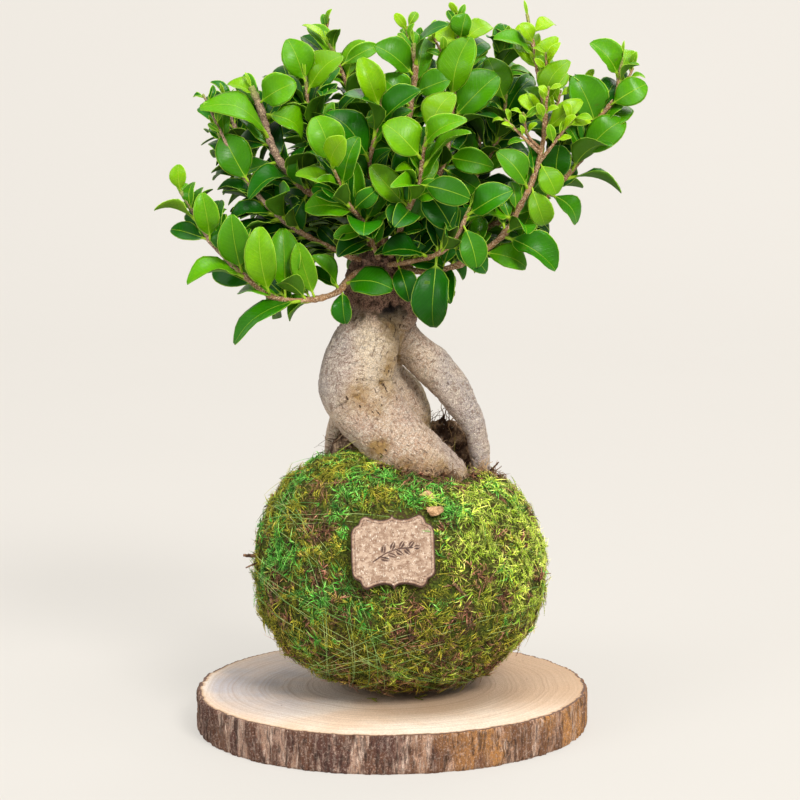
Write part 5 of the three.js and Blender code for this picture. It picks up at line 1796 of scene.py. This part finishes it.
soilFinish = soilMaterial("dark soil", (0.09, 0.052, 0.034), (0.60, 0.41, 0.27))
soilPart = smoothShaded(soilPiece(), soilFinish)
grainFinish = soilMaterial("white grains", (0.42, 0.40, 0.38), (0.66, 0.64, 0.62))
for name, share, size, finish, seed in (
        ("soil_crumbs", soil["crumbs"], 1.0, soilFinish, 5), ("soil_grains", soil["grains"], 0.55, grainFinish, 9)):
    crumbs = growSprigs(name, soilPart, crumbCollection(name + "_shapes", seed), {
        "Per square metre": share * perSquareCentimetre, "Where": "loose", "Size": size,
        "Least tilt": -3.0, "Most tilt": 3.0, "Sunk": -0.1 * mm, "Seed": seed, "Finish": finish})
    keepAttributes(crumbs)
    settle(crumbs, "soil", "soil_ball")
keepAttributes(soilPart)
settle(soilPart, "soil", "soil_ball")


def soilRootlets():
    draw, lines = chanceFrom(seeds["rootlets"]), []
    places = cornersOf(soilPart.data) / mm
    top = [place for place in places if place[2] > 122 and place[1] > -4]
    for _ in range(soil["rootlets"]):
        foot = top[int(draw() * len(top)) % len(top)]
        behind = foot[0] > 12 and foot[1] > 8
        lines.append(rootlet(draw, foot, (7 if behind else 4) + 11 * draw(), 1.0 if behind else 0.4))
    return lines


def rootletMaterial():
    newMaterial("rootlets", 0.7, 0.3)
    cloud = mottle(objectPlace(), 90, 0.35, 0.65)
    colour = mixColour(cloud, (0.14, 0.075, 0.04), (0.56, 0.38, 0.22))
    return painted(colour)


rootlets = growStrands("soil_rootlets", soilRootlets(), rootletMaterial(), 0.9 * mm, 5, 0.1 * mm, 900.0)
keepAttributes(rootlets)
settle(rootlets, "soil", "soil_ball")
print("soil crumbled")


# Dry litter in the moss: fibres round the feet of the roots, sticks, chips and a few stray sprigs
litter = {
    "fibres": [(-3, -27, 132), (3, -30, 131), (9, -32, 130), (15, -33, 130), (21, -31, 129), (27, -29, 129),
               (32, -26, 128), (37, -21, 127), (41, -14, 128), (41, 0, 129), (47, -2, 129), (52, 3, 128),
               (-33, 11, 130), (-27, 9, 131), (-37, 16, 129), (-22, 4, 131)],
    "perSpot": 17, "reach": (4, 6),
    # foot, tip and thickness
    "sticks": [((-66, -12, 88), (-73.5, -16, 89), 1.2), ((-65, -15, 86), (-72, -21, 84), 0.6),
               ((30, -68, 86), (38, -64, 77), 0.9), ((24, -37, 127), (27, -40, 125), 0.9),
               ((24, -59, 113), (27, -58, 110), 1.0), ((71, -20, 80), (79, -25, 82), 0.3),
               ((-18, 2, 133), (-22, -3, 137), 0.6), ((50, 2, 129), (54, -2, 134), 0.6)],
    "strays": [((12, -27, 19.6), (16, -33, 19.7), 0.4), ((14, -26, 19.6), (18, -27, 21), 0.35),
               ((-9, -31, 19.6), (-7, -36, 19.8), 0.4), ((-7, -30, 19.6), (-12, -33, 20.6), 0.3)],
    # place and size
    "chipForm": (0.6, 0.16), "chipSunk": 0.5,  # breadth and height as shares of the size
    "chips": [((18, -48.5, 125.5), 4.0), ((21, -57, 119.5), 4.3), ((-59, -35, 70), 2.6), ((10, -34, 132), 2.6)],
}


def stickLine(draw, foot, tip, thick):
    foot, tip = np.array(foot, float), np.array(tip, float)
    line = []
    steps = 8
    for step in range(steps + 1):
        share = step / steps
        wobble = 0.25 * thick * np.array([draw() - 0.5, draw() - 0.5, draw() - 0.5]) * 2
        line.append(((foot + (tip - foot) * share + wobble) * mm, thick * (1 - 0.4 * share) * mm))
    return line


def litterLines(kind):
    draw, lines = chanceFrom(seeds["litter"]), []
    if kind == "fibres":
        ground = BVHTree.FromPolygons([tuple(corner) for corner in cornersOf(cushion.data) / mm],
                                      [tuple(face.vertices) for face in cushion.data.polygons])
        low, high = litter["reach"]
        for spot in litter["fibres"]:
            for _ in range(litter["perSpot"]):
                beside = Vector(spot) + 3.4 * Vector((draw() - 0.5, draw() - 0.5, 0))
                foot = np.array(ground.find_nearest(beside)[0]) + up * 1.2
                lines.append(rootlet(draw, foot, low + high * draw(), 0.75))
        return lines
    return [stickLine(draw, *row) for row in litter[kind]]


def chipsPiece():
    cloud, (broad, high) = bmesh.new(), litter["chipForm"]
    for number, (place, size) in enumerate(litter["chips"]):
        outward = Vector(place) - Vector(ball["centre"])
        turn = outward.to_track_quat("Z", "Y")
        chip = bmesh.ops.create_icosphere(cloud, subdivisions=3, radius=1.0)
        for corner in chip["verts"]:
            flat = Vector((corner.co.x * size, corner.co.y * size * broad, corner.co.z * size * high))
            flat *= 1 + 0.5 * noisy((corner.co.x, corner.co.y, 0), 1.6, number * 7)
            flat.z += 0.25 * noisy(flat, 0.9, number + 3)
            corner.co = (Vector(place) - outward.normalized() * litter["chipSunk"] + turn @ flat) * mm
    return addObject("moss_chips", meshOf(cloud, "moss_chips"))


def dryMaterial(name, dark, light):
    newMaterial(name, 0.8, 0.2)
    place = objectPlace()
    cloud, fine = mottle(place, 260, 0.35, 0.65), mottle(place, 1500, 0.4, 0.62)
    colour = mixColour(cloud, dark, light)
    colour = mixColour(fine * 0.5, colour, dark)
    return painted(colour, fine, 0.3 * mm)


for kind, node, slotName, finish, lumps in (
        ("fibres", "soil_ball", "soil", rootletMaterial(), 0.1),
        ("sticks", "moss_cover", "moss", dryMaterial("dry sticks", (0.07, 0.035, 0.02), (0.36, 0.20, 0.11)), 0.5),
        ("strays", "moss_cover", "moss", dryMaterial("stray moss", (0.12, 0.14, 0.01), (0.42, 0.44, 0.04)), 0.1)):
    lines = growStrands("moss_" + kind, litterLines(kind), finish, 0.9 * mm, 5, lumps * mm, 700.0)
    keepAttributes(lines)
    settle(lines, slotName, node)
chips = smoothShaded(chipsPiece(), dryMaterial("dry chips", (0.30, 0.16, 0.07), (0.72, 0.46, 0.25)))
settle(chips, "moss", "moss_cover")
print("litter laid")


# Green thread wound over the moss: each loop lies where a plane crosses the ball
threadPlanes = [[0.55, 0, 0.83, -0.45], [-0.35, 0.25, 0.9, -0.55], [0.85, 0.25, 0.2, -0.62], [0.15, 0.45, 0.88, 0.3]]
thread = {
    "radius": 0.1, "steps": 110, "lift": -2.2, "shown": 2.4, "wraps": 7, "spread": 0.17,
    "skin": (2.4 * mm, 4, 0.0, 500.0),  # step, sides, lumps and their scale
}


def threadLoop(x, y, z, shift, lift):
    normal = unit([x, y, z])
    across = unit(np.cross(normal, up))
    uphill = np.cross(across, normal)
    reach = math.sqrt(1 - shift * shift)
    line = []
    for step in range(thread["steps"] + 1):
        angle = step / thread["steps"] * 2 * math.pi
        direction = normal * shift + across * reach * math.cos(angle) + uphill * reach * math.sin(angle)
        sag = lift + 0.8 * math.sin(3 * angle + 5 * shift)
        # They stand out at the lower left and lie deep in the moss elsewhere
        sag += thread["shown"] * clamped(0.45 - 0.8 * direction[0] - 0.9 * direction[2])
        line.append((onBall(direction, mossRelief(direction) + sag) * mm, thread["radius"] * mm))
    return line


def threadLines():
    draw, lines = chanceFrom(seeds["thread"]), []
    for x, y, z, shift in threadPlanes:
        for wrap in range(thread["wraps"]):
            off = thread["spread"] * (wrap > 0)
            tilt = [value + off * (draw() - 0.5) * 2 for value in (x, y, z)]
            lines.append(threadLoop(*tilt, shift + off * (draw() - 0.5), thread["lift"] + 1.2 * draw()))
    return lines


def threadMaterial():
    newMaterial("green thread", 0.45, 0.5)
    cloud = mottle(objectPlace(), 70, 0.35, 0.65)
    # Mottled from dark to pale green: partly the thread's own colour, partly painted highlights
    return painted(mixColour(cloud, (0.10, 0.34, 0.05), (0.52, 0.66, 0.22)))


threads = growStrands("wound_threads", threadLines(), threadMaterial(), *thread["skin"])
keepAttributes(threads)
settle(threads, "thread", "binding_thread")


# The plaque: a board of pressed fibre with a burned border and sprig, which carries no writing
plaque = {"around": 420, "rings": 54, "groove": 0.16, "border": 0.6, "inset": 1.75, "dashes": 84}
plaqueQuarter = [[[0, 18], [1.5, 16.2], [5, 15.5], [9, 16.2], [12.6, 17.5], [15, 16.4], [16.2, 13.6]],
                 [[16.2, 13.6], [18.6, 12.3], [19.8, 10], [20, 6]]]
sprigStem = [[-9.5, -4.6], [-3, -0.6], [3, 1.2], [9.4, 1.6]]


def plaqueOutline():
    quarter = []
    for row in plaqueQuarter:
        curve = SmoothLine([[x, z, 0] for x, z in row])
        steps = max(int(curve.lengths[-1] / 0.3), 4)
        quarter += [curve.along(k / steps)[:2] for k in range(steps + (row is plaqueQuarter[-1]))]
    quarter = np.array(quarter)
    flip = np.array([[1, 1], [1, -1], [-1, -1], [-1, 1]])
    loop = np.concatenate([quarter, quarter[::-1] * flip[1], quarter[1:] * flip[2], quarter[1:-1][::-1] * flip[3]])
    gaps = np.linalg.norm(np.roll(loop, -1, 0) - loop, axis=1)
    reach = np.concatenate([[0], np.cumsum(gaps)])
    spots = np.linspace(0, reach[-1], plaque["around"], endpoint=False)
    closed = np.vstack([loop, loop[:1]])
    return np.stack([np.interp(spots, reach, closed[:, 0]), np.interp(spots, reach, closed[:, 1])], 1)


def lineDistance(points, line):
    # The distance of each point from a line of points
    best = np.full(len(points), np.inf)
    for first, second in zip(line[:-1], line[1:]):
        span = second - first
        length = np.linalg.norm(span)
        share = np.clip(((points - first) @ span) / (length * length), 0, 1)
        gap = np.linalg.norm(points - first - share[:, None] * span, axis=1)
        best = np.minimum(best, gap)
    return best


def step01(value, low, high):
    share = np.clip((value - low) / (high - low), 0, 1)
    return share * share * (3 - 2 * share)


def burnedAt(points, edge, around):
    border = step01(edge, plaque["border"] + 0.25, plaque["border"] - 0.15)
    dashes = (np.mod(around * plaque["dashes"], 1) < 0.62).astype(float)
    inner = step01(np.abs(edge - plaque["inset"]), 0.3, 0.12) * dashes
    curve = SmoothLine([[x, z, 0] for x, z in sprigStem])
    stem = np.array([curve.along(k / 40)[:2] for k in range(41)])
    gap = lineDistance(points, stem)
    burned = np.maximum(border, np.maximum(inner * 0.8, step01(gap, 0.42, 0.2)))
    for k in range(9):
        share = 0.16 + 0.105 * k
        foot = curve.along(min(share, 1.0))[:2]
        heading = curve.tangent(min(share, 1.0))[:2]
        bend = 0.0 if k == 8 else math.radians(48) * (1 if k % 2 else -1)
        axis = np.array([heading[0] * math.cos(bend) - heading[1] * math.sin(bend),
                         heading[0] * math.sin(bend) + heading[1] * math.cos(bend)])
        length = 5.4 - 0.22 * k
        along = (points - foot) @ axis
        across = (points - foot) @ np.array([-axis[1], axis[0]])
        place = np.clip((along - 0.5) / length, 0, 1)
        half = 1.25 * np.sin(math.pi * place ** 0.8) ** 0.8
        leaf = step01(half - np.abs(across), 0.0, 0.22) * step01(np.abs(across), 0.1, 0.26)
        burned = np.maximum(burned, leaf)
    return burned


def plaquePiece():
    outline, rings = plaqueOutline(), plaque["rings"]
    around = np.arange(len(outline)) / len(outline)
    shares = [1 - k / rings for k in range(rings)]
    flat = np.concatenate([outline * share for share in shares] + [np.zeros((1, 2))])
    closed = np.vstack([outline, outline[:1]])
    edge = lineDistance(flat, closed)
    burned = burnedAt(flat, edge, np.concatenate([around] * rings + [[0]]))
    thick, count = plaquePlace["thickness"], len(outline)
    worn = 0.35 * step01(edge, 0.5, 0.0)
    depth = np.array([0.08 * noisy((x, z, 0), 1.3, 4) for x, z in flat])
    front = np.column_stack([flat[:, 0], -thick + worn + plaque["groove"] * burned - depth, flat[:, 1]])
    sides = [np.column_stack([outline[:, 0], np.full(count, y), outline[:, 1]]) for y in (-thick * 0.6, -0.3, 0)]
    corners = np.concatenate([front, *sides, [[0, 0, 0]]])
    faces = []
    for ring in range(rings - 1):
        faces += belt(ring * count, (ring + 1) * count, count)
    centre = rings * count
    faces += fan(centre - count, centre, count)
    belts = [0, centre + 1, centre + 1 + count, centre + 1 + 2 * count]
    for near, far in zip(belts[:-1], belts[1:]):
        faces += belt(far, near, count)
    back, last = belts[-1], len(corners) - 1
    faces += [(back + (k + 1) % count, back + k, last) for k in range(count)]
    mesh = meshFrom("plaque_wood", atPlaque(corners) * mm, faces)
    tone = np.zeros((len(corners), 3))
    tone[:len(flat), 0] = burned
    tone[len(flat):, 0] = 0.85
    tone[:len(flat), 1] = step01(edge, 2.6, 0.4)
    tone[len(flat):, 1] = 1
    addAttribute(mesh, "burn", tone)
    return addObject("plaque_wood", mesh)


def plaqueMaterial():
    newMaterial("pressed board", 0.62, 0.3)
    place = objectPlace()
    burned, edge, _ = parts(attribute("burn"))
    cloud = mottle(place, 420, 0.4, 0.6)
    fibres = mottle(stretched(place, 0.35, 1.0, 1.0), 1500, 0.56, 0.66, 3.0)
    crossing = mottle(stretched(place, 1.0, 1.0, 0.3), 1700, 0.58, 0.68, 3.0)
    flecks = specks(place, 1300, 0.35, 0.3)
    colour = mixColour(cloud, (0.275, 0.175, 0.115), (0.45, 0.325, 0.235))
    colour = layered(colour, (fibres * 0.8, (0.19, 0.10, 0.06)), (crossing * 0.75, (0.80, 0.70, 0.58)),
        (flecks * 0.75, (0.17, 0.09, 0.055)), (edge * 0.35, (0.30, 0.16, 0.095)))
    char = mixColour(cloud, (0.05, 0.024, 0.018), (0.10, 0.05, 0.035))
    colour = mixColour(burned, colour, char)
    return painted(colour, crossing - fibres, 0.08 * mm)


settle(smoothShaded(plaquePiece(), plaqueMaterial()), "plaque_board", "plaque")
print("thread wound and plaque burned")


# Floor, light and camera
studio = {
    "paper": (0.20, 0.191, 0.177), "glow": (0.88, 0.842, 0.784), "floorGlow": 0.62, "wallGlow": 0.675,
    "air": 0.38, "airColour": (1.0, 0.97, 0.93), "haze": (0.885, 0.848, 0.785),
    "aim": (0, 0, 0.18),
    "lamps": {
        # place, size, power, colour
        "key": ((1.5, -2.75, 2.5), 1.3, 146, (1.0, 0.975, 0.94)),
        "top": ((0.2, -0.5, 2.8), 1.8, 50, (1.0, 0.985, 0.96)),
        "fill": ((-2.6, -2.3, 1.5), 2.0, 48, (0.96, 0.98, 1.0)),
        "back": ((0.9, 2.1, 2.3), 1.6, 24, (1.0, 0.98, 0.95)),
    },
}


def floorPiece():
    # One sheet: the floor, a wide bend and the wall behind
    front, depth, bend, wall, half, steps = -9.0, 1.6, 0.9, 3.2, 8.0, 12
    profile = [(front, 0.0), (depth, 0.0)]
    for step in range(1, steps + 1):
        angle = step / steps * math.pi / 2
        profile.append((depth + bend * math.sin(angle), bend * (1 - math.cos(angle))))
    profile.append((depth + bend, wall))
    corners = [(x, y, z) for y, z in profile for x in (-half, half)]
    faces = [(k, k + 1, k + 3, k + 2) for k in range(0, len(corners) - 2, 2)]
    piece = addObject("studio_floor", meshFrom("studio_floor", corners, faces))
    shader = newMaterial("studio paper", 0.9, 0.05)
    place = objectPlace()
    darker = tuple(value * 0.985 for value in studio["paper"])
    colour = mixColour(mottle(place, 3, 0.3, 0.7), studio["paper"], darker)
    # Lit through from behind, so that it stays even from the floor up to the wall
    far = ranged(parts(place)[1], 0.2, 2.3)
    low, high = [tuple(value * studio[name] for value in studio["glow"]) for name in ("floorGlow", "wallGlow")]
    feed(shader.inputs["Emission Color"], mixColour(far, low, high))
    shader.inputs["Emission Strength"].default_value = 1.0
    smoothShaded(piece, painted(colour))
    piece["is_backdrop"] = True


def addLight(name, place, size, power, colour):
    lamp = bpy.data.lights.new(name, "AREA")
    lamp.shape, lamp.size, lamp.energy, lamp.color = "DISK", size, power, colour
    holder = bpy.data.objects.new(name, lamp)
    holder.location = place
    holder.rotation_euler = (Vector(studio["aim"]) - Vector(place)).to_track_quat("-Z", "Y").to_euler()
    scene.collection.objects.link(holder)


floorPiece()
for name, row in studio["lamps"].items():
    addLight(name, *row)
world = bpy.data.worlds.new("studio air")
scene.world = world
world.use_nodes = True
bench["tree"] = world.node_tree
light = world.node_tree.nodes["Background"]
feed(light.inputs["Color"], (*studio["airColour"], 1))
feed(light.inputs["Strength"], studio["air"])
haze = wired("ShaderNodeBackground", {"Color": (*studio["haze"], 1)})  # what shows beyond the paper
shown = wired("ShaderNodeLightPath", out="Is Camera Ray")
either = wired("ShaderNodeMixShader", {0: shown, 1: Wire(light.outputs[0]), 2: haze})
feed(world.node_tree.nodes["World Output"].inputs["Surface"], either)

lens = bpy.data.cameras.new("camera")
lens.lens, lens.sensor_width = view["lens"], 36
lens.clip_start, lens.clip_end = 0.05, 30
camera = bpy.data.objects.new("camera", lens)
rise = math.radians(view["elevation"])
back = Vector((0, -math.cos(rise), math.sin(rise)))
camera.location = (Vector(view["target"]) + back * view["distance"]) * mm
camera.rotation_euler = (-back).to_track_quat("-Z", "Y").to_euler()
scene.collection.objects.link(camera)
scene.camera = camera
scene.view_settings.view_transform = "Standard"

size = {"cad": [list(corner) for corner in cadBox], "visual": [list(corner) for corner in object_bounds()]}
print("scene ready")
